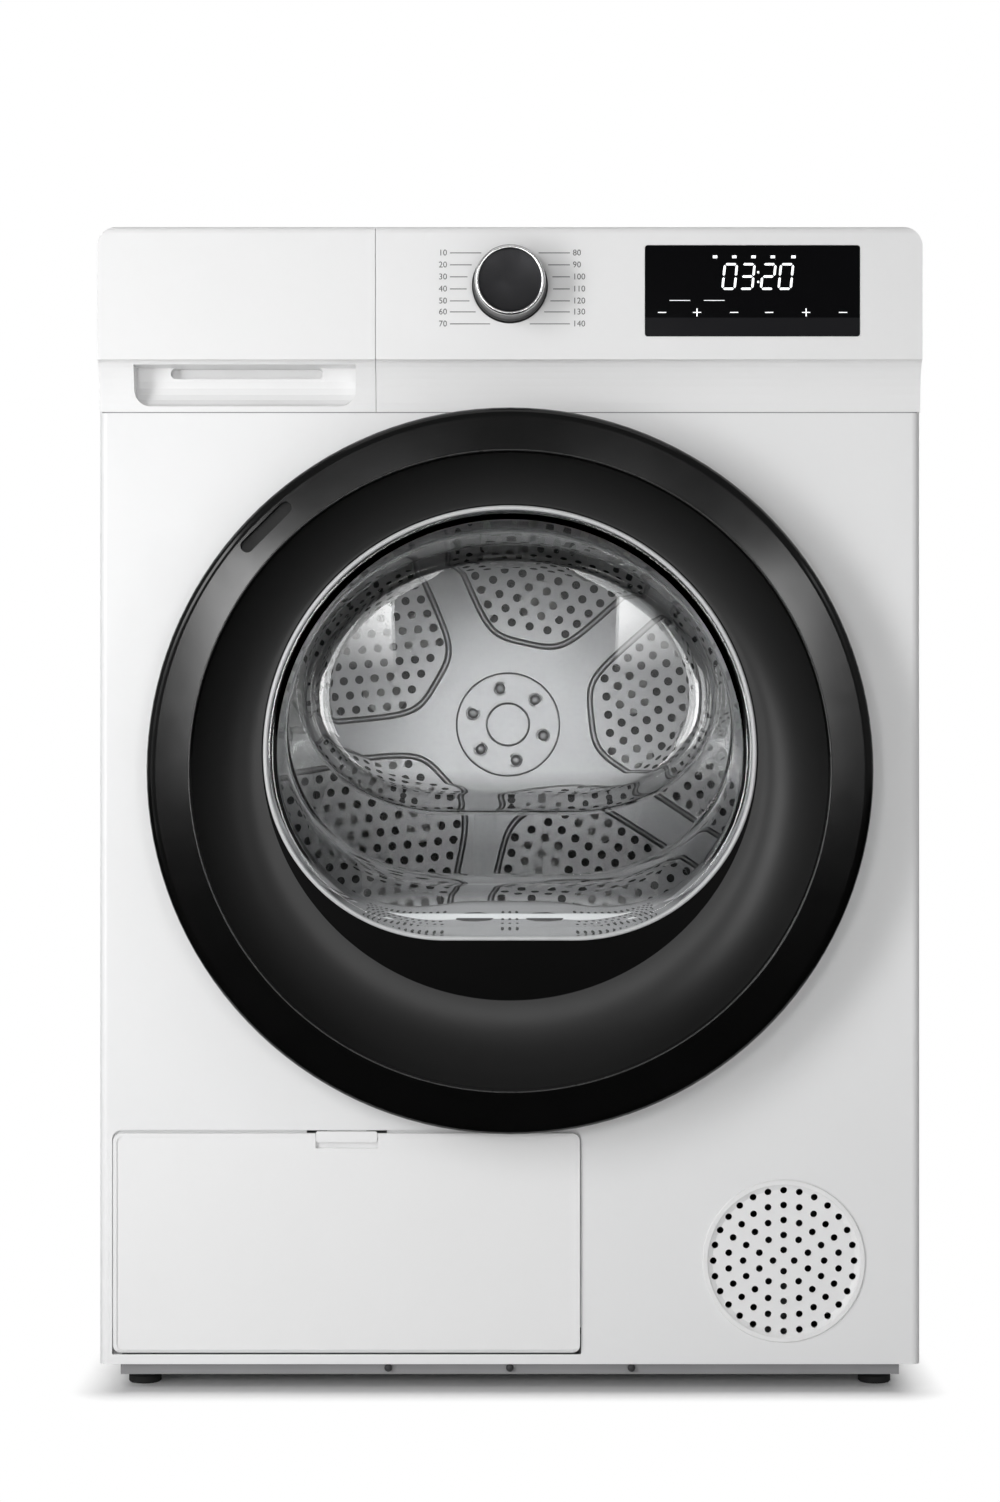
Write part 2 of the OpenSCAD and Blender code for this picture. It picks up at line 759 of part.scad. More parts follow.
module door_ring() {
  p = door_proud;
  t = ring_wall;
  r = door_r;
  color("black") difference() {
    turned(0, door_z, front_y - p) polygon(concat(
      [[bezel_r - 2, 7], [bezel_r - 2, 2.2], [bezel_r, 0.4], [bezel_r + 0.6, 0]],
      [for (i = [0:6]) let (a = 90 - i * 15) [r - 7 + 7 * cos(a), 8 - 7 * sin(a)]],
      [[r, p - door_gap], [r - t, p - door_gap]],
      [for (i = [0:6]) let (a = i * 15) [r - 7 + (7 - t) * cos(a), 8 - (7 - t) * sin(a)]],
      [[bezel_r + t - 1, t + 0.2], [bezel_r + t - 1, 7]]
    ));
    lug_sweep();
    grip_slot();
  }
}

// Slot in the bezel at half past ten, for the fingers
module grip_slot() {
  translate([0, front_y - door_proud - 2, door_z]) rotate([0, -135, 0]) slab(0, 14)
    translate([grip_mid, 0]) round_rect(-4.8, 4.8, -24, 24, 4.7);
}

module door_grip() {
  mid = grip_mid;
  color("dimgray") translate([0, front_y - door_proud + 3.5 + gap, door_z]) rotate([0, -135, 0])
    difference() {
      slab(0, 9) translate([mid, 0]) round_rect(-6.8, 6.8, -26, 26, 6.6);
      slab(-e, 7) translate([mid, 0]) round_rect(-4.6, 4.6, -23.8, 23.8, 4.5);
      for (i = [-5:5]) slab(6, 2.2) translate([mid - 3.4, i * 4 - 1]) square([6.8, 2]);
    }
}

module door_dish() {
  lower = rim_y + 1;
  upper = door_proud - 4.2;
  color("black") difference() {
    hull() {
      slab(front_y - upper, 0.5) translate([0, door_z]) circle(bezel_r - 2.4, $fn = 120);
      slab(front_y - lower, 0.5) translate([0, window_z]) circle(window_r + 2.6, $fn = 120);
    }
    hull() {
      slab(front_y - upper - 1, 1.1) translate([0, door_z]) circle(bezel_r - 4.8, $fn = 120);
      slab(front_y - lower - 1.4, 0.1) translate([0, window_z]) circle(window_r, $fn = 120);
    }
    slab(front_y - lower - 2, 4) window_outline(0);
  }
}

// One slice of the bowl: the window's outline drawn in and raised, at depth y
module bowl_slice(y, shrink, lift, squeeze, w) {
  slab(front_y + y, 0.2) translate([0, window_z + lift]) scale([1, squeeze])
    translate([0, -window_z]) window_outline(-shrink - w, $fn = 48);
}

module bowl_solid(w, d) {
  hull() {
    bowl_slice(-rim_y + 3, 5, 0, 1, w);
    bowl_slice(22, 12, 16, 0.9, w);
  }
  hull() {
    bowl_slice(22, 12, 16, 0.9, w);
    bowl_slice(d - 12, 18, 41, 0.75, w);
  }
  hull() {
    bowl_slice(d - 12, 18, 41, 0.75, w);
    bowl_slice(d - 0.2, 30, 43, 0.71, w);
  }
}

module door_glass() {
  color("lightblue", 0.4) difference() {
    union() {
      bowl_solid(0, bowl_d);
      slab(front_y - rim_y, 3.5) window_outline(-0.4);
    }
    bowl_solid(glass_t, bowl_d - glass_t);
    slab(front_y - rim_y - 1, 5) window_outline(-6 - glass_t);
  }
}

module door_inner_frame() {
  r = door_r - ring_wall - gap;
  color("gray") difference() {
    union() {
      slab(front_y - frame_y - frame_t, frame_t) translate([0, door_z]) circle(r);
      // Collar that holds the glass
      slab(front_y - rim_y, rim_y - frame_y) window_outline(3.5);
      // Ribs behind the bezel
      for (a = [20, 62, 100, 150, 195, 235, 270, 305, 340])
        translate([0, 0, door_z]) rotate([0, -a, 0])
          block(window_r + 24, bezel_r - 22, front_y - 17, front_y - frame_y - e, -1.2, 1.2);
    }
    slab(front_y - 20, 22) window_outline(0);
    lug_sweep();
    block(latch_x - 3 - gap, latch_x + 3 + gap, front_y - 20, front_y, door_z - 9 - gap,
      door_z + 9 + gap);
    slab(front_y - 20, 22) translate([hinge_x - barrel_r - 1.2, door_z - leaf_h - 2])
      square([30, 2 * leaf_h + 4]);
  }
}

module latch_hook() {
  y0 = front_y - frame_y - frame_t;
  color("silver") union() {
    block(latch_x - 4, latch_x + 14, y0 - 3, y0, door_z - 18, door_z + 18);
    block(latch_x - 3, latch_x + 3, y0 - e, front_y + 20, door_z - 9, door_z + 9);
    bar(latch_x - 3, 6) polygon([[front_y + 12, door_z + 8], [front_y + 15, door_z + 12],
      [front_y + 20, door_z + 9], [front_y + 20, door_z]]);
  }
}

module hinge_leaf() {
  y0 = front_y - frame_y - frame_t;
  color("silver") difference() {
    union() {
      translate([hinge_x, hinge_y, door_z - leaf_h]) cylinder(h = 2 * leaf_h, r = barrel_r);
      block(hinge_x - 34, hinge_x - barrel_r - 2, y0 - 3, y0, door_z - leaf_h, door_z + leaf_h);
      block(hinge_x - barrel_r - 5, hinge_x - barrel_r - 2, hinge_y - 1.5, y0,
        door_z - leaf_h, door_z + leaf_h);
      block(hinge_x - barrel_r - 5, hinge_x - hinge_pin_r - 0.5, hinge_y - 1.5, hinge_y + 1.5,
        door_z - leaf_h, door_z + leaf_h);
    }
    translate([hinge_x, hinge_y, door_z - leaf_h - 1])
      cylinder(h = 2 * leaf_h + 2, r = hinge_pin_r + fit);
  }
}

module hinge_bracket() {
  reach_z = leaf_h + 1 + lug_h;
  color("silver") union() {
    block(hinge_x - lug_hw - 2, hinge_x + 26, front_y + sheet_t, front_y + sheet_t + 3,
      door_z - reach_z - 12, door_z + reach_z + 12);
    for (s = [-1, 1]) translate([0, 0, door_z + s * (leaf_h + 1 + lug_h / 2) - lug_h / 2]) {
      translate([hinge_x, hinge_y, 0]) cylinder(h = lug_h, r = lug_hw + 0.5);
      block(hinge_x - lug_hw, hinge_x + lug_hw, hinge_y, front_y + sheet_t + e, 0, lug_h);
    }
    translate([hinge_x, hinge_y, door_z - reach_z]) cylinder(h = 2 * reach_z, r = hinge_pin_r);
  }
}

module door_catch() {
  color("dimgray") difference() {
    block(latch_x - 14, latch_x + 10, front_y + sheet_t, front_y + 30, door_z - 24, door_z + 24);
    block(latch_x - 9, latch_x + 5, front_y - 1, front_y + 27, door_z - 14, door_z + 16);
  }
}

module door_seal() {
  color("dimgray") turned(0, door_z, front_y - frame_y + gap) polygon([
    [bezel_r - 7.5, frame_y + sheet_t - gap], [bezel_r - 7.5, 3], [bezel_r - 5, 0],
    [bezel_r - 2.5, 0], [bezel_r - 0.5, 2.4], [bezel_r + 1.5, frame_y + sheet_t - gap]
  ]);
}

// ---- Air path at the front ----

module front_bulkhead() {
  y = front_y;
  color("whitesmoke") difference() {
    union() {
      // Flange behind the front panel's round hole
      difference() {
        rod(0, door_z, y + sheet_t, 3, panel_hole_r + 4);
        slab(y, 10) translate([latch_x - 16, door_z - 26]) square([28, 52]);
        slab(y, 10) translate([hinge_x - lug_hw - 4, door_z - 60]) square([28, 120]);
      }
      rod(0, window_z, y + sheet_t, plate_y, port_r + 3);
      // Plate in front of the drum
      slab(y + plate_y, plate_t) union() {
        translate([0, drum_z]) circle(drum_r + 2);
        translate([-tray_x, module_z + 9]) square([2 * tray_x, 420]);
      }
      rod(0, drum_z, y + plate_y, plate_t + 33, lip_r);
      // Wings that meet the side panels' front flanges
      both_sides() {
        block(tray_x - 3, inner_x - gap, y + return_d + 0.4 + sheet_t, y + return_d + 4.5,
          module_z + 9, 560);
        block(tray_x - 3, tray_x, y + return_d + 2, y + plate_y + e, module_z + 9, 560);
      }
      // Shaft that leads air down through the lint filter
      block(-plenum_x1, plenum_x1, y + 20, y + plate_y + e, module_z + gap, door_z - port_r + 40);
    }
    difference() {
      union() {
        rod(0, window_z, y - 1, plate_y + 80, port_r);
        rod(0, drum_z, y + plate_y + plate_t, 60, lip_r - 3.5);
      }
      // Housing of the lint filter across the bottom of the tunnel, and its sloping lip
      slab(y + 14, plate_y + plate_t - 14) intersection() {
        translate([0, window_z]) circle(port_r + 1);
        translate([-hw, 0]) square([body_w, filter_z - 2]);
      }
      bar(-lip_w / 2, lip_w) polygon([[y + 3, lip_z - 3], [y + 3, lip_z], [y + 22, filter_z - 2.2],
        [y + 22, lip_z - 3]]);
    }
    block(-filter_w / 2 - gap, filter_w / 2 + gap, y + filter_y - gap,
      y + filter_y + filter_d + gap, module_z - 1, filter_z + 10);
  }
}

module lint_filter() {
  x = filter_w / 2;
  y0 = front_y + filter_y;
  y1 = y0 + filter_d;
  z0 = module_z + 20;
  color("lightgray") difference() {
    union() {
      block(-x, x, y0, y1, z0, filter_z - 6);
      block(-x + 1, x - 1, y0, y1, filter_z - 6 - e, filter_z);
    }
    // Inside, open windows for the mesh, and the inlets in the top
    block(-x + 2.5, x - 2.5, y0 + 2, y1 - 2, z0 + 3, filter_z - 8);
    for (s = [-1, 1]) {
      block(s * x / 2 - 44, s * x / 2 + 44, y0 - 1, y1 + 1, z0 + 12, filter_z - 24);
      block(s * 26 - 14, s * 26 + 14, y0 + 6, y1 - 6, filter_z - 9, filter_z + 1);
      for (i = [0:3]) block(s * (52 + i * 13) - 4.5, s * (52 + i * 13) + 4.5, y0 + 6, y1 - 6,
        filter_z - 9, filter_z + 1);
    }
  }
}

// ---- Drum ----

module drum_shell() {
  t = drum_t;
  r = drum_r;
  color("silver") turned(0, drum_z, front_y) polygon([
    [neck_r, neck_y], [neck_r, neck_y + 30], [r, neck_y + 46], [r, drum_end],
    [r - 14, drum_end], [r - 14, drum_end - t], [r - t, drum_end - t],
    [r - t, neck_y + 46.4], [neck_r - t, neck_y + 30.4], [neck_r - t, neck_y]
  ]);
}

// One field between two spokes, in its own direction along +X
module sector_outline() {
  c = spoke_w / 2 / sin(36);
  intersection() {
    circle(sector_r1);
    translate([c, 0]) polygon([[0, 0], 400 * [cos(36), sin(36)], 400 * [cos(36), -sin(36)]]);
    translate([sector_r0, -300]) square([300, 600]);
  }
}

module drum_back() {
  y1 = front_y + drum_end - drum_t;
  y0 = y1 - back_t;
  margin = air_hole_r + 3.5;
  color("darkgray") difference() {
    rod(0, drum_z, y0, back_t, drum_r - drum_t - gap);
    rod(0, drum_z, y0 - 1, 10, drum_shaft_r + gap);
    for (k = [0:4]) translate([0, 0, drum_z]) rotate([0, -(spoke_a + 36 + 72 * k), 0]) {
      slab(y0 - e, back_t - 1) sector_outline();
      slab(y0 - 1, 5) for (a = [1:22], b = [1:22])
        let (p = air_pitch * (a * polar(1, 36) + b * polar(1, -36)))
          if (p[0] > sector_r0 + margin && norm(p) < sector_r1 - margin
            && min(a, b) * air_pitch * sin(72) > spoke_w / 2 + margin)
            translate(p) circle(air_hole_r, $fn = 14);
    }
  }
}

module drum_shaft() {
  y1 = front_y + drum_end - drum_t;
  y0 = y1 - back_t;
  color("gray") union() {
    turned(0, drum_z, y0 - 2.5) polygon([[0, 0.8], [18, 0.8], [20, 0], [hub_r - 2, 0],
      [hub_r, 1.4], [hub_r, 2.5], [0, 2.5]]);
    for (k = [0:5]) {
      p = polar(33, 30 + 60 * k);
      rod(p[0], drum_z + p[1], y0 - 4.7, 3, 4);
    }
    rod(0, drum_z, y0 - e, rear_plate_y - drum_end + 16, drum_shaft_r);
    rod(0, drum_z, y1, 4, 60);
  }
}

module drum_lifters() {
  r = drum_r - drum_t - gap;
  y0 = front_y + neck_y + 60;
  y1 = front_y + drum_end - drum_t - back_t - 20;
  color("lightgray") for (k = [0:2]) translate([0, 0, drum_z]) rotate([0, -(90 + 120 * k), 0])
    intersection() {
      rod(0, 0, y0, y1 - y0, r);
      slab(y0, y1 - y0) union() {
        polygon([[r + 5, -34], [r - lifter_h + 10, -10.5], [r - lifter_h + 10, 10.5], [r + 5, 34]]);
        translate([r - lifter_h + 12, 0]) circle(12);
      }
    }
}

module rear_bulkhead() {
  y0 = front_y + rear_plate_y;
  color("silver") difference() {
    union() {
      slab(y0, 1.5) union() {
        translate([0, drum_z]) circle(drum_r);
        translate([-inner_x, module_z + 8]) square([2 * inner_x, 480]);
      }
      both_sides() block(tray_x - 24, tray_x - 0.5, y0, y0 + 1.5, tray_z + tray_h, module_z + 9);
      rod(0, drum_z, y0 + 1, 14, 34);
    }
    rod(0, drum_z, y0 - 1, 30, 22 + fit);
    for (k = [0:11]) {
      p = polar(115, 15 + 30 * k);
      q = polar(180, 30 * k);
      rod(p[0], drum_z + p[1], y0 - 1, 4, 20);
      rod(q[0], drum_z + q[1], y0 - 1, 4, 30);
    }
  }
}

module rear_bearing() {
  y0 = front_y + rear_plate_y - 3;
  color("gray") difference() {
    union() {
      rod(0, drum_z, y0, 18, 22);
      rod(0, drum_z, y0, 3 - e, 28);
    }
    rod(0, drum_z, y0 - 1, 30, drum_shaft_r + fit);
  }
}

module felt_seals() {
  color("tan") union() {
    turned(0, drum_z, front_y + neck_y + 3)
      polygon([[lip_r, 0], [neck_r - drum_t - gap, 2], [neck_r - drum_t - gap, 16], [lip_r, 18]]);
    turned(0, drum_z, front_y + drum_end + 0.5)
      polygon([[drum_r - 13, 0], [drum_r - 4, 0], [drum_r - 2, rear_plate_y - drum_end - 0.5],
        [drum_r - 15, rear_plate_y - drum_end - 0.5]]);
  }
}

module roller(side) {
  x = side * roller_x;
  color("dimgray") difference() {
    turned(x, roller_z, front_y + roller_y) polygon([
      [0, 0], [12, 0], [12, 4], [roller_r - 6, 4], [roller_r - 5, 0], [roller_r - 1, 0],
      [roller_r, 1], [roller_r, roller_w - 1], [roller_r - 1, roller_w],
      [roller_r - 5, roller_w], [roller_r - 6, roller_w - 4], [12, roller_w - 4],
      [12, roller_w], [0, roller_w]
    ]);
    rod(x, roller_z, front_y + roller_y - 1, 40, axle_r + fit);
  }
}

module left_roller() { roller(-1); }
module right_roller() { roller(1); }

module roller_axles() {
  y0 = front_y + plate_y + plate_t;
  color("silver") for (s = [-1, 1]) union() {
    rod(s * roller_x, roller_z, y0, roller_y + roller_w + 6 - plate_y - plate_t, axle_r);
    rod(s * roller_x, roller_z, y0, roller_y - gap - plate_y - plate_t, axle_r + 6);
    rod(s * roller_x, roller_z, front_y + roller_y + roller_w + gap, 1.5, axle_r + 4);
  }
}

// ---- Drive ----

// Far corner of a wedge, in a direction
function far(a) = polar(900, a);

module drive_belt() {
  a0 = reach_a - wrap_a;
  a1 = reach_a + wrap_a;
  r = drum_r + belt_gap;
  s = pulley_r + belt_gap;
  c = [motor_x, motor_z];
  d = [0, drum_z];
  color("black") slab(front_y + belt_y - belt_w / 2, belt_w) union() {
    // Round the drum
    translate(d) difference() {
      circle(r + belt_t, $fn = 180);
      circle(r, $fn = 180);
      polygon([[0, 0], far(a0), far(a0 + 60), far(a1)]);
    }
    // Round the pulley
    translate(c) intersection() {
      difference() {
        circle(s + belt_t);
        circle(s);
      }
      polygon([[0, 0], far(a0), far(a0 + 60), far(a1)]);
    }
    // The two straight runs, lapped over the round stretches and standing a hair proud of them
    for (a = [a0, a1]) let (n = polar(1, a), t = 0.3 * polar(1, reach_a), r0 = r + 0.1,
      s0 = s + 0.1, p = [d + r0 * n - t, d + (r0 + belt_t) * n - t, c + (s0 + belt_t) * n + t,
        c + s0 * n + t])
      polygon(a == a0 ? p : [for (i = [3:-1:0]) p[i]]);
  }
}

module drive_motor() {
  y0 = front_y + motor_y;
  color("slategray") difference() {
    union() {
      turned(motor_x, motor_z, y0) polygon([[0, 0], [motor_r - 14, 0], [motor_r - 4, 12],
        [motor_r - 4, 22], [motor_r, 22], [motor_r, motor_l - 22], [motor_r - 4, motor_l - 22],
        [motor_r - 4, motor_l - 12], [motor_r - 14, motor_l], [0, motor_l]]);
      for (y = [y0 + 26, y0 + motor_l - 34])
        block(motor_x - 34, motor_x + 34, y, y + 8, floor_z, motor_z - 30);
      rod(idler_pivot[0], idler_pivot[1], y0 - 23.5, 30, 4);
    }
    rod(motor_x, motor_z, y0 - 1, motor_l + 2, motor_shaft_r + fit);
  }
}

module motor_shaft() {
  y0 = front_y + belt_y - belt_w / 2;
  color("silver") union() {
    rod(motor_x, motor_z, y0 - 5, fan_y + fan_l + 8 + 5 + belt_w / 2 - belt_y, motor_shaft_r);
    turned(motor_x, motor_z, y0 - 3) polygon([[0, 0], [pulley_r + 4, 0], [pulley_r + 4, 1],
      [pulley_r, 2.4], [pulley_r, belt_w + 3.6], [pulley_r + 4, belt_w + 5],
      [pulley_r + 4, belt_w + 6], [0, belt_w + 6]]);
  }
}

module process_fan() {
  y0 = front_y + fan_y;
  color("gray") difference() {
    union() {
      rod(motor_x, motor_z, y0, fan_l, motor_shaft_r + 7);
      rod(motor_x, motor_z, y0 + fan_l - 2, 2, fan_r);
      for (k = [0:23]) translate([motor_x, 0, motor_z]) rotate([0, 15 * k, 0])
        translate([fan_r - 14, 0, 0]) rotate([0, 28, 0]) block(0, 13, y0 + 2, y0 + fan_l - 1, -0.8, 0.8);
      difference() {
        rod(motor_x, motor_z, y0, 2.5, fan_r);
        rod(motor_x, motor_z, y0 - 1, 5, fan_r - 15);
      }
    }
    rod(motor_x, motor_z, y0 - 1, fan_l + 2, motor_shaft_r + fit);
  }
}

module fan_housing() {
  t = shell_t;
  y0 = front_y + channel_end + 1;
  y1 = front_y + fan_y - 4;
  y2 = front_y + fan_y + fan_l + 6;
  x1 = motor_x + fan_r + 10;
  z1 = module_z - 4;
  color("gray") difference() {
    union() {
      block(channel_x0, x1, y0, y1 + t, module_z0, z1);
      rod(motor_x, motor_z, y1, y2 - y1, fan_r + 7.5);
      // Outlet towards the rear bulkhead
      block(motor_x - 40, motor_x + 60, y2 - 20, front_y + rear_plate_y + 38, motor_z + 40, z1);
      block(motor_x - 40, motor_x + 60, front_y + rear_plate_y + 4, front_y + rear_plate_y + 38,
        motor_z + 40, module_z + 90);
    }
    block(channel_x0 + t, x1 - t, y0 + t, y1, module_z0 + t, z1 - t);
    block(channel_x0 + t, channel_x1 - t - 2, y0 - 1, y1, module_z0 + t, z1 - t);
    rod(motor_x, motor_z, y0 - 1, y1 - y0 + 10, fan_r - 16);
    rod(motor_x, motor_z, y1 + t, y2 - y1 - 2 * t, fan_r + 5);
    rod(motor_x, motor_z, y2 - 10, 20, motor_shaft_r + 4);
    block(motor_x - 40 + t, motor_x + 60 - t, y2 - 18, front_y + rear_plate_y + 38 - t,
      motor_z + 40 + t, z1 - t);
    block(motor_x - 40 + t, motor_x + 60 - t, front_y + rear_plate_y + 4 + t,
      front_y + rear_plate_y + 38 - t, motor_z + 40 + t, module_z + 90 - t);
    block(motor_x - 30, motor_x + 50, front_y + rear_plate_y, front_y + rear_plate_y + 10,
      module_z + 40, module_z + 80);
  }
}

module idler_arm() {
  y0 = front_y + belt_y + belt_w / 2 + 5;
  d = idler_c - idler_pivot;
  color("silver") difference() {
    union() {
      slab(y0, 3) union() {
        translate(idler_pivot) circle(9);
        translate(idler_c) circle(7);
        polygon([idler_pivot + 6 * left_n, idler_c + 6 * left_n, idler_c - 6 * left_n,
          idler_pivot - 6 * left_n]);
      }
      rod(idler_pivot[0], idler_pivot[1], y0, 9, 7);
      rod(idler_c[0], idler_c[1], y0 - belt_w - 8, belt_w + 8 + e, 3);
      rod(idler_c[0], idler_c[1], y0 - belt_w - 8, 1.5, 5);
    }
    rod(idler_pivot[0], idler_pivot[1], y0 - 1, 20, 4 + fit);
  }
}

module idler_pulley() {
  y0 = front_y + belt_y - belt_w / 2 - 1;
  color("white") difference() {
    turned(idler_c[0], idler_c[1], y0) polygon([[0, 0], [idler_r, 0], [idler_r, belt_w + 2],
      [7, belt_w + 2], [7, belt_w + 4], [0, belt_w + 4]]);
    rod(idler_c[0], idler_c[1], y0 - 1, belt_w + 8, 3 + fit);
  }
}

// ---- Heat exchanger and base module ----

module exchanger_housing() {
  t = shell_t;
  y0 = front_y + cover_y + cover_t + gap;
  y1 = front_y + channel_end;
  z0 = module_z0;
  color("gray") difference() {
    union() {
      block(channel_x0, channel_x1, y0, y1, z0, module_z);
      block(channel_x0, plenum_x1, y0, front_y + 58, z0, module_z);
    }
    block(channel_x0 + t, channel_x1 - t, y0 + t, y1 + 1, z0 + t, module_z - t);
    block(channel_x0 + t, plenum_x1 - t, y0 + t, front_y + 58 - t, z0 + t, module_z - t);
    // Front opening, smaller than the cover that seats on its rim
    block(cover_x0 + cover_lap, cover_x1 - cover_lap, y0 - 1, y0 + t + 1, cover_z0 + cover_lap,
      cover_z1 - cover_lap);
    // Mouth under the lint filter
    block(-filter_w / 2, filter_w / 2, front_y + filter_y, front_y + 58 - t, module_z - t - 1,
      module_z + 1);
  }
}

module exchanger_coils() {
  color("silver") {
    coil(front_y + coil_y, 110);
    coil(front_y + coil_y + 150, channel_end - coil_y - 205);
  }
}

// One finned block with its tubes
module coil(y0, d) {
  x0 = channel_x0 + shell_t + 2;
  x1 = channel_x1 - shell_t - 2;
  z0 = module_z0 + shell_t;
  z1 = module_z - shell_t - 6;
  n = 16;
  union() {
    for (i = [0:n]) let (x = x0 + 8 + i * (x1 - x0 - 17) / n)
      block(x, x + 1, y0, y0 + d, z0, z1);
    for (j = [0:1], k = [0:3]) translate([x0, y0 + d * (0.28 + 0.44 * j), z0 + 22 + k * 36])
      rotate([0, 90, 0]) cylinder(h = x1 - x0, r = 5);
  }
}

module exchanger_cover() {
  y0 = front_y + cover_y;
  z = (cover_z0 + cover_z1) / 2;
  color("silver") difference() {
    union() {
      slab(y0, cover_t) round_rect(cover_x0, cover_x1, cover_z0, cover_z1, 8);
      // Raised ribs
      for (i = [0:4]) slab(y0 - 2, 2 + e)
        round_rect(cover_x0 + 60, cover_x1 - 60, cover_z0 + 16 + i * 25, cover_z0 + 22 + i * 25,
          2.9);
      for (x = [cover_x0 + lever_in, cover_x1 - lever_in]) rod(x, z, y0 - 12, 12 + e, 4);
    }
    for (x = [cover_x0 + lever_in, cover_x1 - lever_in]) rod(x, z, y0 - 13, 3, 1.5);
  }
}

module cover_lever(x) {
  z = (cover_z0 + cover_z1) / 2;
  y0 = front_y + cover_y - 9;
  color("seagreen") difference() {
    union() {
      rod(x, z, y0, 8.7, 9);
      slab(y0, 6) round_rect(x - 5, x + 5, z - 40, z + 40, 4.9);
    }
    rod(x, z, y0 - 1, 12, 4 + fit);
  }
}

module left_cover_lever() { cover_lever(cover_x0 + lever_in); }
module right_cover_lever() { cover_lever(cover_x1 - lever_in); }

module compressor() {
  c = [hw - 85, front_y + 185];
  color("black") union() {
    translate([c[0], c[1], 0]) rotate_extrude() polygon([[0, floor_z + 14], [44, floor_z + 14],
      [60, floor_z + 22], [60, 150], [50, 168], [30, 178], [0, 181]]);
    translate([c[0], c[1], floor_z + 8]) linear_extrude(6) union() {
      circle(52);
      for (a = [90, 210, 330]) rotate(a) translate([0, -9]) square([64, 18]);
    }
    for (a = [90, 210, 330]) translate([c[0] + 57 * cos(a), c[1] + 57 * sin(a), floor_z])
      cylinder(h = 14, r = 9);
    translate([c[0] - 5, c[1] + 78, floor_z + 50]) cylinder(h = 80, r = 15);
    translate([c[0] - 5, c[1] + 50, floor_z + 80]) rotate([-90, 0, 0]) cylinder(h = 24, r = 5);
  }
}

module cooling_fan_motor() {
  color("black") union() {
    rod(fan_x, grille_z, front_y + 56, 30, 20);
    rod(fan_x, grille_z, front_y + 34, 23, 3);
  }
}

module cooling_fan() {
  y0 = front_y + 36;
  color("gray") difference() {
    union() {
      rod(fan_x, grille_z, y0, 18, 15);
      for (k = [0:6]) translate([fan_x, y0 + 9, grille_z]) rotate([0, 360 / 7 * k, 0])
        rotate([38, 0, 0]) block(12, 47, -9, 9, -0.9, 0.9);
    }
    rod(fan_x, grille_z, y0 - 1, 20, 3 + fit);
  }
}

module condensate_pump() {
  x = channel_x0 + 18;
  y = front_y + body_d - 29;
  color("dimgray") union() {
    block(x + 12, x + 74, y - 46, y + 14, floor_z, floor_z + 46);
    block(x - 8, x + 13, y - 8, y + 8, floor_z + 28, floor_z + 46);
    translate([x + 46, y - 16, floor_z]) cylinder(h = 70, r = 15);
    translate([x, y, floor_z + 40]) cylinder(h = tank_z - 14 - floor_z - 40, r = 6);
    translate([x, y - 14, tank_z - 14]) rotate([0, -90, 0])
      rotate_extrude(angle = 90) translate([14, 0]) circle(6);
    translate([x, y - 14, tank_z]) rotate([90, 0, 0])
      cylinder(h = y - 14 - (tank_y + tank_l + 12) - gap, r = 6);
  }
}

// ---- Service flap ----

module service_flap() {
  color("white") difference() {
    union() {
      slab(front_y - 1.5, flap_t) round_rect(flap_x0, flap_x1, flap_z0, flap_z1, 6);
      slab(front_y - 2.5, 2) difference() {
        round_rect(flap_x0, flap_x1, flap_z0, flap_z1, 6);
        round_rect(flap_x0 + 2.6, flap_x1 - 2.6, flap_z0 + 2.6, flap_z1 - 2.6, 4);
      }
      for (x = [flap_x0 + 14, flap_x1 - 14 - arm_w]) bar(x, arm_w) union() {
        translate([flap_axis_y, flap_axis_z]) circle(3);
        translate([front_y + 1, flap_axis_z - 3]) square([flap_axis_y - front_y - 1, 6]);
      }
      for (x = [flap_x0 + 14 + arm_w - 1, flap_x1 - 14 - arm_w - 4])
        translate([x, flap_axis_y, flap_axis_z]) rotate([0, 90, 0]) cylinder(h = 5, r = flap_pin_r);
      // Stiffening ribs
      for (i = [1:6]) block(flap_x0 + i * flap_w / 7 - 0.8, flap_x0 + i * flap_w / 7 + 0.8,
        front_y + 1, front_y + 4, flap_z0 + 14, flap_z1 - 16);
    }
    slab(front_y - 5, 12) translate([latch_x0 - gap, flap_z1 - latch_h - latch_travel])
      square([latch_w + 2 * gap, 40]);
    // Lower edge rounded about the hinge, so that it swings clear of the panel
    bar(flap_x0 - 1, flap_w + 2) difference() {
      translate([front_y - 6, flap_z0 - 3]) square([9, flap_axis_z - flap_z0 + 1]);
      translate([flap_axis_y, flap_axis_z]) circle(8.3);
    }
  }
}

// Tab with a bevelled nose behind the panel's edge: a pull on the flap, or a finger, presses it down
module flap_latch() {
  z1 = flap_z1 + 1.4;
  nose_z = flap_z1 + flap_head_gap + latch_nose_lap;
  nose_y0 = front_y + 1.5 + gap;
  nose_y1 = front_y + 3.6;
  color("white") union() {
    slab(front_y - 2.5, 4.8) round_rect(latch_x0, latch_x0 + latch_w, z1 - latch_h, z1, 1.5);
    block(latch_x0 - 5, latch_x0 + latch_w + 5, nose_y0, nose_y1, z1 - latch_h - 6, z1 - 3);
    bar(latch_x0 + 8, latch_w - 16) polygon([[nose_y0, z1 - 4],
      [nose_y0, nose_z - latch_nose_slope * (nose_y1 - nose_y0)], [nose_y1, nose_z],
      [nose_y1, z1 - 4]]);
  }
}

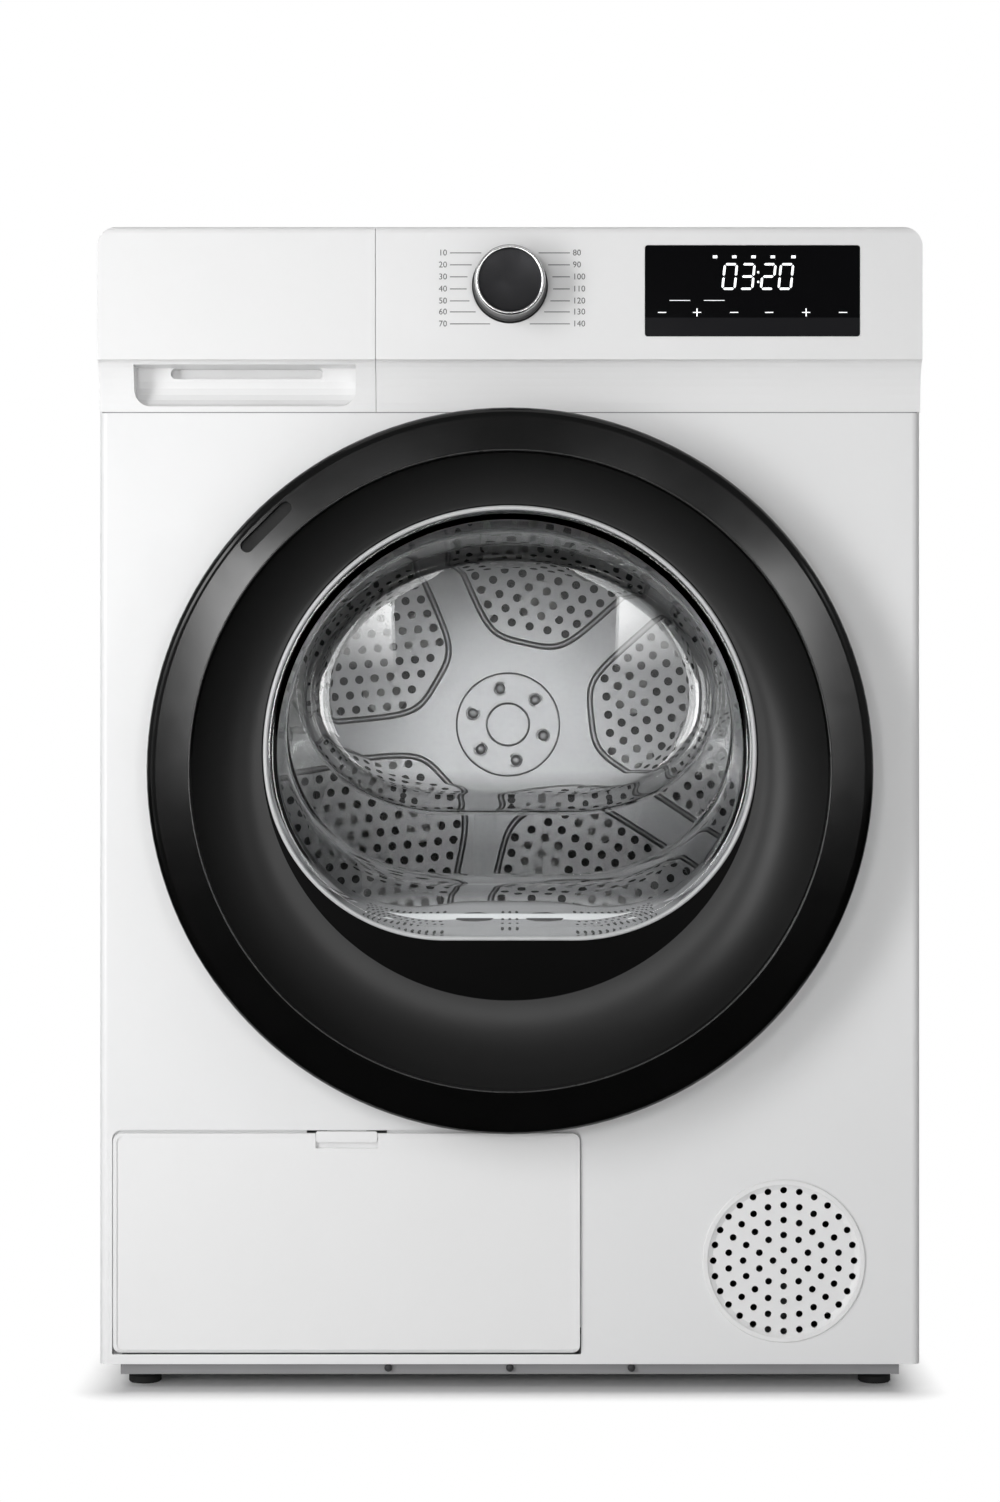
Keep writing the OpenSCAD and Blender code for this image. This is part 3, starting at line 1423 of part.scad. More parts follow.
module front_left_foot() { foot(-(hw - foot_in_x), front_y + foot_in_y); }
module front_right_foot() { foot(hw - foot_in_x, front_y + foot_in_y); }
module rear_left_foot() { foot(-(hw - foot_in_x), back_y - foot_in_y); }
module rear_right_foot() { foot(hw - foot_in_x, back_y - foot_in_y); }

base_tray();
left_side_panel();
right_side_panel();
rear_panel();
rear_duct_cover();
top_cover();
front_panel();
front_bulkhead();
rear_bulkhead();
control_panel();
display_glass();
control_board();
knob_ring();
knob();
drawer_front();
water_tank();
tank_bay();
door_ring();
door_grip();
door_dish();
door_glass();
door_inner_frame();
latch_hook();
hinge_leaf();
hinge_bracket();
door_catch();
door_seal();
lint_filter();
drum_shell();
drum_back();
drum_shaft();
drum_lifters();
rear_bearing();
felt_seals();
left_roller();
right_roller();
roller_axles();
drive_belt();
drive_motor();
motor_shaft();
process_fan();
fan_housing();
idler_arm();
idler_pulley();
exchanger_coils();
exchanger_housing();
exchanger_cover();
left_cover_lever();
right_cover_lever();
compressor();
cooling_fan();
cooling_fan_motor();
condensate_pump();
service_flap();
flap_latch();
vent_grille();
front_left_foot();
front_right_foot();
rear_left_foot();
rear_right_foot();
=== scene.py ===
"""Looks of a free-standing clothes dryer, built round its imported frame.
Metres, +Z up, front to -Y."""
import math

import bpy
import numpy as np
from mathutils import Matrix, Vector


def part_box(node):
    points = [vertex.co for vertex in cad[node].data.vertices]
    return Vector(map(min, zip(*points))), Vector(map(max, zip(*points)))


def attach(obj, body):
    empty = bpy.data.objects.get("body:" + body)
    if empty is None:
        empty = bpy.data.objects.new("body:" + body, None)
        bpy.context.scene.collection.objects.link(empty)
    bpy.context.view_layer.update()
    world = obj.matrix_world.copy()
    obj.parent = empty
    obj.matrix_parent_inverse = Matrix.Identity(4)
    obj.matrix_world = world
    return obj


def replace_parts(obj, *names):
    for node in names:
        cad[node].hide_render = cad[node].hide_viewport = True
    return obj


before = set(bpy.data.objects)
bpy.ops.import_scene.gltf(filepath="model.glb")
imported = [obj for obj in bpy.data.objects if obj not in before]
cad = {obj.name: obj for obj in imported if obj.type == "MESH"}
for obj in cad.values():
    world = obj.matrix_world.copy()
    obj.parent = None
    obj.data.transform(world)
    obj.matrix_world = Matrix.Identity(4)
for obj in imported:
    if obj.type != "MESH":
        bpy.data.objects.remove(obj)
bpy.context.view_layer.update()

# ---- Camera ----
# A long lens at mid height, level and square to the front, a little left of the middle.
panel_low, panel_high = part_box("front_panel")
front_y = panel_low.y
lens, lens_gap, lens_x, lens_z = 75.4, 2.3, -0.0072, 0.4683
camera = bpy.data.objects.new("camera", bpy.data.cameras.new("camera"))
camera.data.lens = lens
camera.data.sensor_width = 36
camera.data.clip_start, camera.data.clip_end = 0.05, 60
camera.location = (lens_x, front_y - lens_gap, lens_z)
camera.rotation_euler = (math.pi / 2, 0, 0)
bpy.context.scene.collection.objects.link(camera)
bpy.context.scene.camera = camera
bpy.context.scene.view_settings.view_transform = "Standard"

# ---- Studio ----
# A white sweep: the floor round the feet is matte and keeps the shadow, and further off it turns
# to plain white. The key lamp stands on the left, a weak strip on the right, one lamp above and
# one behind; two soft boxes show in the glass bowl, and two cards in the polished ring.
class Wire:
    """A shader socket. Arithmetic on it adds Math nodes, and node() adds a node of any other
    kind: its settings are set first, then the values or links of its sockets."""

    def __init__(self, tree, socket=None):
        self.tree, self.socket = tree, socket

    def node(self, kind, settings=None, sockets=None, out=0):
        made = self.tree.nodes.new("ShaderNode" + kind)
        for key, value in (settings or {}).items():
            if key == "stops":
                stops = made.color_ramp.elements
                while len(stops) < len(value):
                    stops.new(1.0)
                for stop, (place, shade) in zip(stops, value):
                    stop.position, stop.color = place, (shade, shade, shade, 1)
            else:
                setattr(made, key, value)
        for key, value in (sockets or {}).items():
            if isinstance(value, Wire):
                self.tree.links.new(value.socket, made.inputs[key])
            else:
                made.inputs[key].default_value = value
        return Wire(self.tree, made.outputs[out])

    def math(self, operation, *terms):
        """A Math node on these terms, each a number or a wire."""
        return self.node("Math", {"operation": operation}, dict(enumerate(terms)))

    def mix(self, first, second):
        """Colour between two, by this socket as the factor."""
        return self.node("Mix", {"data_type": "RGBA"}, {0: self, 6: first, 7: second}, 2)

    def __add__(self, other):
        return self.math("ADD", self, other)

    def __sub__(self, other):
        return self.math("SUBTRACT", self, other)

    def __rsub__(self, other):
        return self.math("SUBTRACT", other, self)

    def __mul__(self, other):
        return self.math("MULTIPLY", self, other)

    def __gt__(self, other):
        return self.math("GREATER_THAN", self, other)

    def __lt__(self, other):
        return self.math("LESS_THAN", self, other)

    __radd__ = __add__
    __rmul__ = __mul__


room_light, glossy_share = 0.15, 0.1
world = bpy.data.worlds.new("studio")
bpy.context.scene.world = world
world.use_nodes = True
sky = Wire(world.node_tree)
path = sky.node("LightPath").socket.node
seen = sky.math("MAXIMUM", Wire(sky.tree, path.outputs["Is Camera Ray"]),
                Wire(sky.tree, path.outputs["Is Transmission Ray"]))
shown = sky.math("MAXIMUM", seen, glossy_share * Wire(sky.tree, path.outputs["Is Glossy Ray"]))
room = world.node_tree.nodes["Background"]
room.inputs["Color"].default_value = (1, 1, 1, 1)
sky.tree.links.new((room_light + (1 - room_light) * shown).socket, room.inputs["Strength"])


def lamp(name, place, target, size, power, inner=0):
    """A rectangular soft lamp that faces its target. With inner, it is brightest at its upper
    corner on that side (1 right, -1 left) and fades to the far side and to its lower edge."""
    made = bpy.data.lights.new(name, "AREA")
    made.shape, made.size, made.size_y, made.energy = "RECTANGLE", *size, power
    held = bpy.data.objects.new(name, made)
    held.location = place
    aim = held.location.copy()
    aim.x, aim.y, aim.z = (t - p for t, p in zip(target, place))
    held.rotation_mode = "QUATERNION"
    held.rotation_quaternion = aim.to_track_quat("-Z", "Y")
    held.visible_camera = False
    bpy.context.scene.collection.objects.link(held)
    if inner:
        far_share, rise = 0.2, 9.0
        made.use_nodes = True
        w = Wire(made.node_tree)
        spot = w.node("NewGeometry", out="Parametric")
        across, up = (w.node("SeparateXYZ", {}, {0: spot}, axis) for axis in "XY")
        near = across if inner > 0 else 1 - across
        fall = w.math("MINIMUM", rise * up, 1.0)
        w.tree.links.new((fall * (far_share + near * near)).socket,
                         made.node_tree.nodes["Emission"].inputs["Strength"])


side_y, box_y, box_z = front_y - 1.3, front_y - 2.45, 0.817
lamp("left_lamp", (-1.25, side_y, 0.8), (-0.1, front_y, 0.5), (0.55, 1.4), 19)
lamp("right_lamp", (1.45, side_y, 0.8), (0.1, front_y, 0.5), (0.22, 1.2), 1.8)
lamp("top_lamp", (0, front_y + 0.3, 2.6), (0, front_y + 0.3, 0.8), (2.2, 1.6), 8)
lamp("rear_lamp", (0.8, 3.0, 1.2), (0, 0.3, 0.5), (1.8, 1.4), 45)
lamp("left_box", (-0.235, box_y, box_z), (-0.235, front_y, 0.75), (0.19, 0.465), 2.6, 1)
lamp("right_box", (0.235, box_y, box_z), (0.235, front_y, 0.75), (0.18, 0.465), 2.4, -1)
lamp("left_card", (-0.48, box_y, 0.67), (-0.4, front_y, 0.55), (0.3, 0.46), 7.5)
lamp("right_card", (0.49, box_y, 0.64), (0.4, front_y, 0.55), (0.3, 0.46), 5.2)


def finish(name, **fixed):
    """A material of one Principled shader; fixed sockets are the same all over the surface."""
    made = bpy.data.materials.new(name)
    made.use_nodes = True
    shader = made.node_tree.nodes["Principled BSDF"]
    for key, value in fixed.items():
        shader.inputs[key.replace("_", " ")].default_value = value
    return made, shader, Wire(made.node_tree)


def lead(shader, **wires):
    """Links wires to the shader's sockets."""
    for key, wire in wires.items():
        wire.tree.links.new(wire.socket, shader.inputs[key.replace("_", " ")])


def grey(value, blue=None):
    """A grey; blue, where given, is its slightly different blue part."""
    return (value, value, value if blue is None else blue, 1)


def grain(wire, scale, detail=2.0, stretch=(1, 1, 1)):
    """Noise over the object's own metres, drawn out along an axis where stretch is small."""
    where = wire.node("TexCoord", out="Object")
    turned = wire.node("Mapping", {}, {"Vector": where, "Scale": stretch})
    return wire.node("TexNoise", {}, {"Vector": turned, "Scale": scale, "Detail": detail})


# The matte patch reaches matte_reach from the middle, and turns white over white_over.
matte_reach, white_over, floor_reach = 0.28, 0.04, 9.0
sweep, shader, w = finish("sweep", Roughness=0.9, Specular_IOR_Level=0.0)
spot = w.node("TexCoord", out="Object")
sides = [w.math("ABSOLUTE", w.node("SeparateXYZ", {}, {0: spot}, axis)) for axis in "XY"]
beyond = [w.math("MAXIMUM", side - matte_reach, 0.0) for side in sides]
away = w.math("SQRT", beyond[0] * beyond[0] + beyond[1] * beyond[1])
far = w.node("ValToRGB", {"stops": ((0.0, 0.0), (white_over, 1.0))}, {0: away})
ray = w.node("LightPath").socket.node.outputs
camera_ray, glossy_ray = Wire(w.tree, ray["Is Camera Ray"]), Wire(w.tree, ray["Is Glossy Ray"])
lead(shader, Base_Color=grain(w, 3.0).mix(grey(0.93), grey(0.95)))
glow = w.node("Emission", {}, {"Color": (1, 1, 1, 1), "Strength": camera_ray})
both = w.node("MixShader", {}, {0: far * (camera_ray + glossy_ray),
                                1: Wire(w.tree, shader.outputs[0]), 2: glow})
w.tree.links.new(both.socket, w.tree.nodes["Material Output"].inputs["Surface"])
corners = [(-floor_reach, -floor_reach, 0), (floor_reach, -floor_reach, 0),
           (floor_reach, floor_reach, 0), (-floor_reach, floor_reach, 0)]
floor_mesh = bpy.data.meshes.new("floor")
floor_mesh.from_pydata(corners, [], [(0, 1, 2, 3)])
floor_mesh.materials.append(sweep)
floor = bpy.data.objects.new("floor", floor_mesh)
bpy.context.scene.collection.objects.link(floor)

# ---- Enamelled cabinet ----
# Deep-drawn steel panels, enamelled white and baked: a faint orange peel and a clear gloss.
# The front panel and both sides are finished so.
def bump(wire, height, strength, depth):
    """A fine relief: height is the wire that is raised, depth its full rise in metres."""
    return wire.node("Bump", {}, {"Height": height, "Strength": strength, "Distance": depth})


def dress(material, *names):
    """Puts a material on CAD nodes that keep their shape."""
    for name in names:
        slots = cad[name].material_slots
        for held in slots:
            held.material = material


enamel, shader, w = finish("white_enamel", Coat_Roughness=0.08, Specular_IOR_Level=0.5)
peel = grain(w, 420.0, 2.0)
lead(shader, Base_Color=grain(w, 3.0, 3.0).mix((0.785, 0.787, 0.79, 1), (0.81, 0.812, 0.815, 1)),
     Roughness=0.3 + 0.08 * grain(w, 40.0, 4.0), Normal=bump(w, peel, 0.12, 0.0002))
dress(enamel, "left_side_panel", "right_side_panel", "front_panel")

# ---- White mouldings ----
# Top cover, control panel, drawer front, flap and grille: injection-moulded white plastic with a
# satin skin of fine spark-eroded grain.
satin, shader, w = finish("white_moulding", Specular_IOR_Level=0.42)
lead(shader, Base_Color=grain(w, 5.0, 3.0).mix(grey(0.80), grey(0.82, 0.822)),
     Roughness=0.36 + 0.1 * grain(w, 60.0, 3.0),
     Normal=bump(w, grain(w, 1500.0, 2.0), 0.1, 0.0001))
dress(satin, "top_cover", "control_panel", "drawer_front", "service_flap", "flap_latch",
      "vent_grille")

# ---- Galvanised sheets ----
# The rear panel and its duct cover: zinc-dipped steel, whose crystals show as large faceted
# flecks of slightly different grey. The rear bulkhead, behind the drum, is painted dark grey:
# painted shade, so that the drum's holes show dark.
def zinc_coat(name, low, high, rough):
    """Zinc flecks between two greys, each fleck with its own gloss."""
    flecks_per_metre = 130.0
    made, shader, w = finish(name, Metallic=0.85)
    spangle = w.node("TexVoronoi", {}, {"Vector": w.node("TexCoord", out="Object"),
                                        "Scale": flecks_per_metre}, "Color")
    fleck = w.node("SeparateXYZ", {}, {0: spangle})
    lead(shader, Base_Color=fleck.mix(grey(low), grey(high)),
         Roughness=rough + 0.08 * fleck, Normal=bump(w, fleck, 0.04, 0.0003))
    return made


dress(zinc_coat("galvanised", 0.5, 0.6, 0.36), "rear_panel", "rear_duct_cover")
dress(zinc_coat("zinc_in_painted_shade", 0.035, 0.06, 0.5), "rear_bulkhead")

# ---- Inner mouldings ----
# Bulkhead, tank, filter and lifters are pale grey polypropylene; the base tray, pump and door
# carrier are dark grey; ducts and fans are mid grey. All have a soft matte skin.
def moulding(name, low, high, rough):
    """Matte plastic between two near colours, with a fine grain."""
    made, shader, w = finish(name, Specular_IOR_Level=0.4)
    lead(shader, Base_Color=grain(w, 25.0, 4.0).mix((*low, 1), (*high, 1)),
         Roughness=rough + 0.12 * grain(w, 70.0, 3.0),
         Normal=bump(w, grain(w, 1100.0, 2.0), 0.14, 0.00015))
    return made


pale = moulding("pale_moulding", (0.50, 0.51, 0.515), (0.56, 0.57, 0.575), 0.42)
dark = moulding("dark_moulding", (0.028, 0.028, 0.03), (0.04, 0.04, 0.042), 0.5)
mid = moulding("mid_grey_moulding", (0.19, 0.195, 0.2), (0.23, 0.235, 0.24), 0.46)
black = moulding("black_moulding", (0.004, 0.004, 0.004), (0.007, 0.007, 0.007), 0.42)
green = moulding("green_moulding", (0.012, 0.11, 0.055), (0.02, 0.14, 0.07), 0.4)
acetal = moulding("acetal", (0.68, 0.68, 0.66), (0.72, 0.72, 0.7), 0.3)
dress(pale, "front_bulkhead", "water_tank", "tank_bay", "lint_filter", "drum_lifters")
dress(moulding("tray_moulding", (0.22, 0.22, 0.225), (0.26, 0.26, 0.265), 0.45), "base_tray")
dress(dark, "door_inner_frame", "door_catch", "cooling_fan", "condensate_pump")
dress(mid, "process_fan", "fan_housing", "exchanger_housing", "exchanger_cover")
dress(black, "door_grip", "knob_ring", "cooling_fan_motor")
dress(green, "left_cover_lever", "right_cover_lever")
dress(acetal, "idler_pulley")

# ---- Steel, fins and rubber ----
# Shafts, hinge, axles and motor are bright steel with faint drawn lines; the exchanger has thin
# aluminium fins; rollers, seal, belt and feet are rubber, and the drum's seals are wool felt.
steel, shader, w = finish("bright_steel", Metallic=1.0)
drawn = grain(w, 300.0, 3.0, (1, 1, 0.06))
lead(shader, Base_Color=drawn.mix((0.44, 0.445, 0.45, 1), (0.56, 0.565, 0.57, 1)),
     Roughness=0.24 + 0.2 * drawn, Normal=bump(w, drawn, 0.08, 0.0001))
dress(steel, "latch_hook", "hinge_leaf", "hinge_bracket", "rear_bearing",
      "roller_axles", "drive_motor", "motor_shaft", "idler_arm")
fins, shader, w = finish("aluminium_fins", Metallic=1.0)
lead(shader, Base_Color=grain(w, 60.0).mix((0.62, 0.63, 0.64, 1), (0.72, 0.73, 0.74, 1)),
     Roughness=0.3 + 0.15 * grain(w, 200.0))
dress(fins, "exchanger_coils")
lacquer, shader, w = finish("black_lacquer", Coat_Roughness=0.15)
lead(shader, Base_Color=grain(w, 30.0).mix(grey(0.012), grey(0.018)),
     Roughness=0.35 + 0.15 * grain(w, 90.0, 4.0), Normal=bump(w, grain(w, 350.0), 0.15, 0.0002))
dress(lacquer, "compressor")


def rubber(name, low, high):
    """Matte rubber with a dusty, slightly uneven skin."""
    made, shader, w = finish(name, Specular_IOR_Level=0.3)
    lead(shader, Base_Color=grain(w, 45.0, 5.0).mix((*low, 1), (*high, 1)),
         Roughness=0.68 + 0.16 * grain(w, 120.0, 3.0),
         Normal=bump(w, grain(w, 900.0, 3.0), 0.2, 0.0002))
    return made


dress(rubber("black_rubber", (0.01, 0.01, 0.01), (0.02, 0.02, 0.02)), "drive_belt",
      "front_left_foot", "front_right_foot", "rear_left_foot", "rear_right_foot")
dress(rubber("grey_rubber", (0.03, 0.03, 0.032), (0.045, 0.045, 0.048)), "door_seal",
      "left_roller", "right_roller")
felt, shader, w = finish("wool_felt", Specular_IOR_Level=0.1, Sheen_Weight=0.4)
fibre = grain(w, 900.0, 6.0)
lead(shader, Base_Color=fibre.mix((0.22, 0.18, 0.12, 1), (0.38, 0.33, 0.24, 1)),
     Roughness=0.85 + 0.1 * fibre, Normal=bump(w, fibre, 0.5, 0.0006))
dress(felt, "felt_seals")
board, shader, w = finish("circuit_board")
lead(shader, Base_Color=(grain(w, 150.0, 1.0) > 0.52).mix((0.006, 0.05, 0.02, 1),
                                                        (0.02, 0.11, 0.05, 1)),
     Roughness=0.35 + 0.2 * grain(w, 150.0))
dress(board, "control_board")

# ---- Drum ----
# A shell and a back of polished stainless steel. The back is pressed: five fields sink between
# the spokes and are pierced, and a rolled bead follows the edge of each.
def piece(name, parts, material, body, smooth=True):
    """One mesh from parts, each an array of points and one of faces, riding on a body."""
    points, faces, base = [], [], 0
    for at, quads in parts:
        points.append(np.asarray(at, float).reshape(-1, 3))
        faces += (np.asarray(quads) + base).tolist()
        base += len(points[-1])
    mesh = bpy.data.meshes.new(name)
    mesh.from_pydata(np.concatenate(points).tolist(), [], faces)
    mesh.polygons.foreach_set("use_smooth", np.full(len(mesh.polygons), smooth))
    mesh.materials.append(material)
    made = bpy.data.objects.new(name, mesh)
    bpy.context.scene.collection.objects.link(made)
    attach(made, body)
    return made


def skin(p, loop_u=False, loop_v=False):
    """Quads over a grid of points p[i, j]; a looped direction joins its end to its start."""
    n, m = p.shape[:2]
    i, j = np.meshgrid(np.arange(n if loop_u else n - 1), np.arange(m if loop_v else m - 1),
                       indexing="ij")
    a, b, c, d = (((i + s) % n) * m + (j + t) % m for s, t in ((0, 0), (1, 0), (1, 1), (0, 1)))
    return p.reshape(-1, 3), np.stack([a, b, c, d], -1).reshape(-1, 4)


drum_metal, shader, w = finish("drum_steel", Metallic=1.0)
brushed = grain(w, 260.0, 3.0)
lead(shader, Base_Color=brushed.mix(grey(0.33, 0.335), grey(0.40, 0.405)),
     Roughness=0.36 + 0.12 * brushed, Normal=bump(w, grain(w, 25.0, 3.0), 0.08, 0.0006))
dress(drum_metal, "drum_shell", "drum_back", "drum_shaft")
back_low, back_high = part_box("drum_back")
drum_z = (back_low.z + back_high.z) / 2
back_face = back_low.y
fields, first_field, bead_r = 5, 77.6, 0.0028


def bead(path, radius, steps=10, loop=True):
    """A round bead along a path in a plane of constant Y: a circle carried along its normals."""
    ahead = np.roll(path, -1, 0) - np.roll(path, 1, 0)
    if not loop:
        ahead[0], ahead[-1] = path[1] - path[0], path[-1] - path[-2]
    ahead /= np.linalg.norm(ahead, axis=1)[:, None]
    out = np.stack([ahead[:, 2], 0 * ahead[:, 0], -ahead[:, 0]], -1)
    turn = np.linspace(0, 2 * np.pi, steps, endpoint=False)
    ring = (np.cos(turn)[None, :, None] * out[:, None, :]
            + np.sin(turn)[None, :, None] * np.array([0, -1.0, 0]))
    return skin(path[:, None, :] + radius * ring, loop, True)


def arc(cx, cz, r, a0, a1, n):
    """Points of a circular arc from angle a0 to a1, in degrees, as X and Z."""
    a = np.radians(np.linspace(a0, a1, n))
    return np.stack([cx + r * np.cos(a), cz + r * np.sin(a)], -1)


def sector_edge(direction):
    """Edge of one field: an arc beside the shell, two sides along the spokes, rounded corners."""
    near, far_r, half, spoke, rounding = 0.075, 0.2475, math.radians(180 / fields), 0.0175, 14
    apex = spoke / math.sin(half)
    length = math.sqrt(far_r ** 2 - spoke ** 2) - apex * math.cos(half)
    tip = np.array([apex + length * math.cos(half), length * math.sin(half)])
    low = np.array([near, (near - apex) * math.tan(half)])
    lift = math.degrees(math.atan2(tip[1], tip[0]))
    outer = arc(0, 0, math.hypot(*tip), -lift, lift, 40)
    other = np.array([1, -1])
    corners = np.concatenate([outer, np.linspace(tip, low, 24)[1:],
                              np.linspace(low, low * other, 16)[1:],
                              np.linspace(low * other, tip * other, 24)[1:-1]])
    for _ in range(rounding):
        corners = 0.5 * corners + 0.25 * (np.roll(corners, 1, 0) + np.roll(corners, -1, 0))
    a = math.radians(direction)
    x = corners[:, 0] * math.cos(a) - corners[:, 1] * math.sin(a)
    z = corners[:, 0] * math.sin(a) + corners[:, 1] * math.cos(a)
    return np.stack([x, np.full_like(x, back_face), drum_z + z], -1)


piece("field_beads", [bead(sector_edge(first_field + 360 / fields * k), bead_r)
                      for k in range(fields)], drum_metal, "drum")
hub_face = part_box("drum_shaft")[0].y


def turned(profile, cx, cz, y0, steps=96):
    """A profile of radius and depth turned about an axis along Y."""
    a = np.linspace(0, 2 * np.pi, steps, endpoint=False)
    r, d = np.asarray(profile, float).T
    return skin(np.stack([cx + r[:, None] * np.cos(a), y0 + np.repeat(d[:, None], steps, 1),
                          cz + r[:, None] * np.sin(a)], -1), False, True)


ridge = [(-0.0012, 0.0045), (-0.0008, 0.0008), (0.0, 0.0), (0.0008, 0.0008), (0.0012, 0.0045)]
piece("hub_rings", [turned([(r + step, depth) for step, depth in ridge], 0, drum_z,
                           hub_face + 0.0019) for r in (0.020, 0.0455)],
      drum_metal, "drum")
bolt_circle, bolts, first_bolt = 0.033, 6, 42
bolt = [(0.0001, -0.0016), (0.0022, -0.0015), (0.0038, -0.0008), (0.0043, 0.0), (0.0043, 0.001),
        (0.0060, 0.0012), (0.0064, 0.0002), (0.0066, 0.0014)]
piece("hub_bolts", [turned(bolt, bolt_circle * math.cos(a), drum_z + bolt_circle * math.sin(a),
                           hub_face, 24)
                    for a in np.radians(first_bolt + 360 / bolts * np.arange(bolts))],
      drum_metal, "drum")

# ---- Door: ring ----
# The outer ring is a black moulding with a polished face; a smoked dish drops from it to the
# glass, and a black plate closes the dish under the flat of the window.
gloss_black, shader, w = finish("polished_black", Specular_IOR_Level=0.3)
lead(shader, Base_Color=grain(w, 30.0).mix(grey(0.002), grey(0.003)),
     Roughness=0.1 + 0.05 * grain(w, 50.0, 3.0))
dress(gloss_black, "door_ring")

ring_low, ring_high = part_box("door_ring")
door_z = (ring_low.z + ring_high.z) / 2
window_z = door_z + 0.0134
window_r, window_flat, window_corner, face_middle = 0.1804, 0.1377, 0.133, 0.021


def window_edge(angle, w):
    """Reach of the window's outline, grown by w, along rays from its centre: the round part, then
    the corner arcs below the tangents, then the flat."""
    r, c = window_r + w, window_corner + w
    cz = c - window_flat - w
    cx = np.sqrt((r - c) ** 2 - cz ** 2)
    co, si = np.cos(angle), np.sin(angle)
    along = np.abs(co) * cx + si * cz
    corner = along + np.sqrt(np.maximum(along ** 2 - cx ** 2 - cz ** 2 + c ** 2, 0))
    flat = (window_flat + w) / np.maximum(-si, 1e-6)
    below = si < cz / (r - c)
    reach = np.where(below & (flat * np.abs(co) <= cx), flat, corner)
    return np.where(below, reach, r)


turn = np.linspace(0, 2 * np.pi, 288, endpoint=False)


def window_row(y, w, lift=0.0, squeeze=1.0, share=1.0):
    """One row of the bowl: the window's outline at a depth, lifted, squeezed, and drawn to a share
    of its size about the middle of the bowl's face."""
    reach = window_edge(turn, w)
    x, z = reach * np.cos(turn), reach * np.sin(turn)
    return np.stack([share * x, np.full_like(x, front_y + y),
                     window_z + lift + squeeze * (face_middle + share * (z - face_middle))], -1)


# The dish's colour fades from grey by the glass to black at its outer edge, 50 mm further out:
# partly the smoked plastic's tint, partly painted shade in the deep groove by the ring and a
# painted glow by the glass.
tint_shade_from, tint_shade_over, tint_shade_lift = 0.18, 0.05, 0.007
smoked, shader, w = finish("smoked_dish", Specular_IOR_Level=0.25)
flat_place = w.node("Mapping", {}, {"Vector": w.node("TexCoord", out="Object"),
                                    "Scale": (1, 0, 1)})
from_axis = w.node("VectorMath", {"operation": "DISTANCE"},
                   {0: flat_place, 1: (0, 0, door_z + tint_shade_lift)}, "Value")
fade = w.node("ValToRGB", {"stops": ((0.0, 1.0), (0.55, 0.35), (1.0, 0.0))},
              {0: (from_axis - tint_shade_from) * (1 / tint_shade_over)})
lead(shader, Base_Color=fade.mix(grey(0.003), grey(0.034)),
     Roughness=0.34 + 0.06 * grain(w, 50.0, 3.0))
# Its surface runs from the bezel, just under the ring's face, to the window: the radius falls
# evenly, the depth as a quarter wave, and the middle moves up to the window's late.
proud, bezel = front_y - ring_low.y, 0.2305
outer_r, outer_sink, inner_r, fall = bezel - 0.0006, 0.0035, window_r + 0.0004, proud - 0.0135
rows = []
for t in np.linspace(0, 1, 26):
    r = outer_r * (1 - t) + inner_r * t
    y = ring_low.y + outer_sink + fall * math.sin(t * math.pi / 2) ** 1.05
    z = door_z + (window_z - door_z) * t ** 3
    rows.append(np.stack([r * np.cos(turn), np.full_like(turn, y), z + r * np.sin(turn)], -1))
dish = piece("smoked_dish", [skin(np.stack(rows), False, True)], smoked, "door")
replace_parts(dish, "door_dish")

# The black plate that fills the circle under the flat of the window, and its fine raised edges.
plate_y, plate_lip = -0.0098, -0.0006
plate_black, shader, w = finish("plate_black", Specular_IOR_Level=0.05)
lead(shader, Base_Color=grain(w, 30.0).mix(grey(0.0008), grey(0.0012)),
     Roughness=0.3 + 0.06 * grain(w, 50.0, 3.0))
round_row = np.stack([inner_r * np.cos(turn), np.full_like(turn, front_y + plate_y),
                      window_z + inner_r * np.sin(turn)], -1)
plate_rows = [round_row, window_row(plate_y, 0.0), window_row(plate_y, plate_lip),
              window_row(plate_y + 0.001, plate_lip)]
piece("window_plate", [skin(np.stack(plate_rows), False, True)], plate_black, "door",
      smooth=False)
# The bezel's fine inner bead is a lighter black than the ring: a painted highlight line.
bezel_highlight_black, shader, w = finish("bezel_highlight_black", Specular_IOR_Level=0.5)
lead(shader, Base_Color=grain(w, 60.0).mix(grey(0.02), grey(0.03)),
     Roughness=0.25 + 0.06 * grain(w, 90.0))
trim_r = 0.0008
circle = np.stack([np.cos(turn), 0 * turn, np.sin(turn)], -1)
piece("bezel_edges", [bead((bezel * circle + (0, ring_low.y + trim_r, door_z))[::-1], trim_r, 8)],
      bezel_highlight_black, "door")

# ---- Door: glass bowl ----
# Toughened glass pressed to a bowl: its rim follows the window, its sides draw in and rise over
# the lint filter, and its face is a flat oval close to the laundry.
glass, shader, w = finish("toughened_glass", Roughness=0.0, IOR=1.45, Transmission_Weight=1.0)
# Painted shade: a grey band in the glass's colour darkens the lower drum seen through it. The
# band starts 14 mm under the window's centre and ends above the filter's lip.
shade_drop, band_height = 0.014, 0.1
band = ((0.0, 0.0), (0.12, 0.45), (0.6, 1.0), (0.9, 1.0), (0.99, 0.0))
height = w.node("SeparateXYZ", {}, {0: w.node("TexCoord", out="Object")}, "Z")
painted_shade_band = w.node("ValToRGB", {"stops": band},
                  {0: (window_z - shade_drop - height) * (1 / band_height)})
lead(shader, Base_Color=painted_shade_band.mix((0.97, 0.98, 0.98, 1), (0.42, 0.425, 0.43, 1)))
# Light that falls through the glass keeps its path, so the drum behind isn't left in the dark.
shadow = Wire(w.tree, w.node("LightPath").socket.node.outputs["Is Shadow Ray"])
clear = w.node("BsdfTransparent", {}, {"Color": (0.95, 0.955, 0.955, 1)})
through = w.node("MixShader", {}, {0: shadow, 1: Wire(w.tree, shader.outputs[0]), 2: clear})
w.tree.links.new(through.socket, w.tree.nodes["Material Output"].inputs["Surface"])
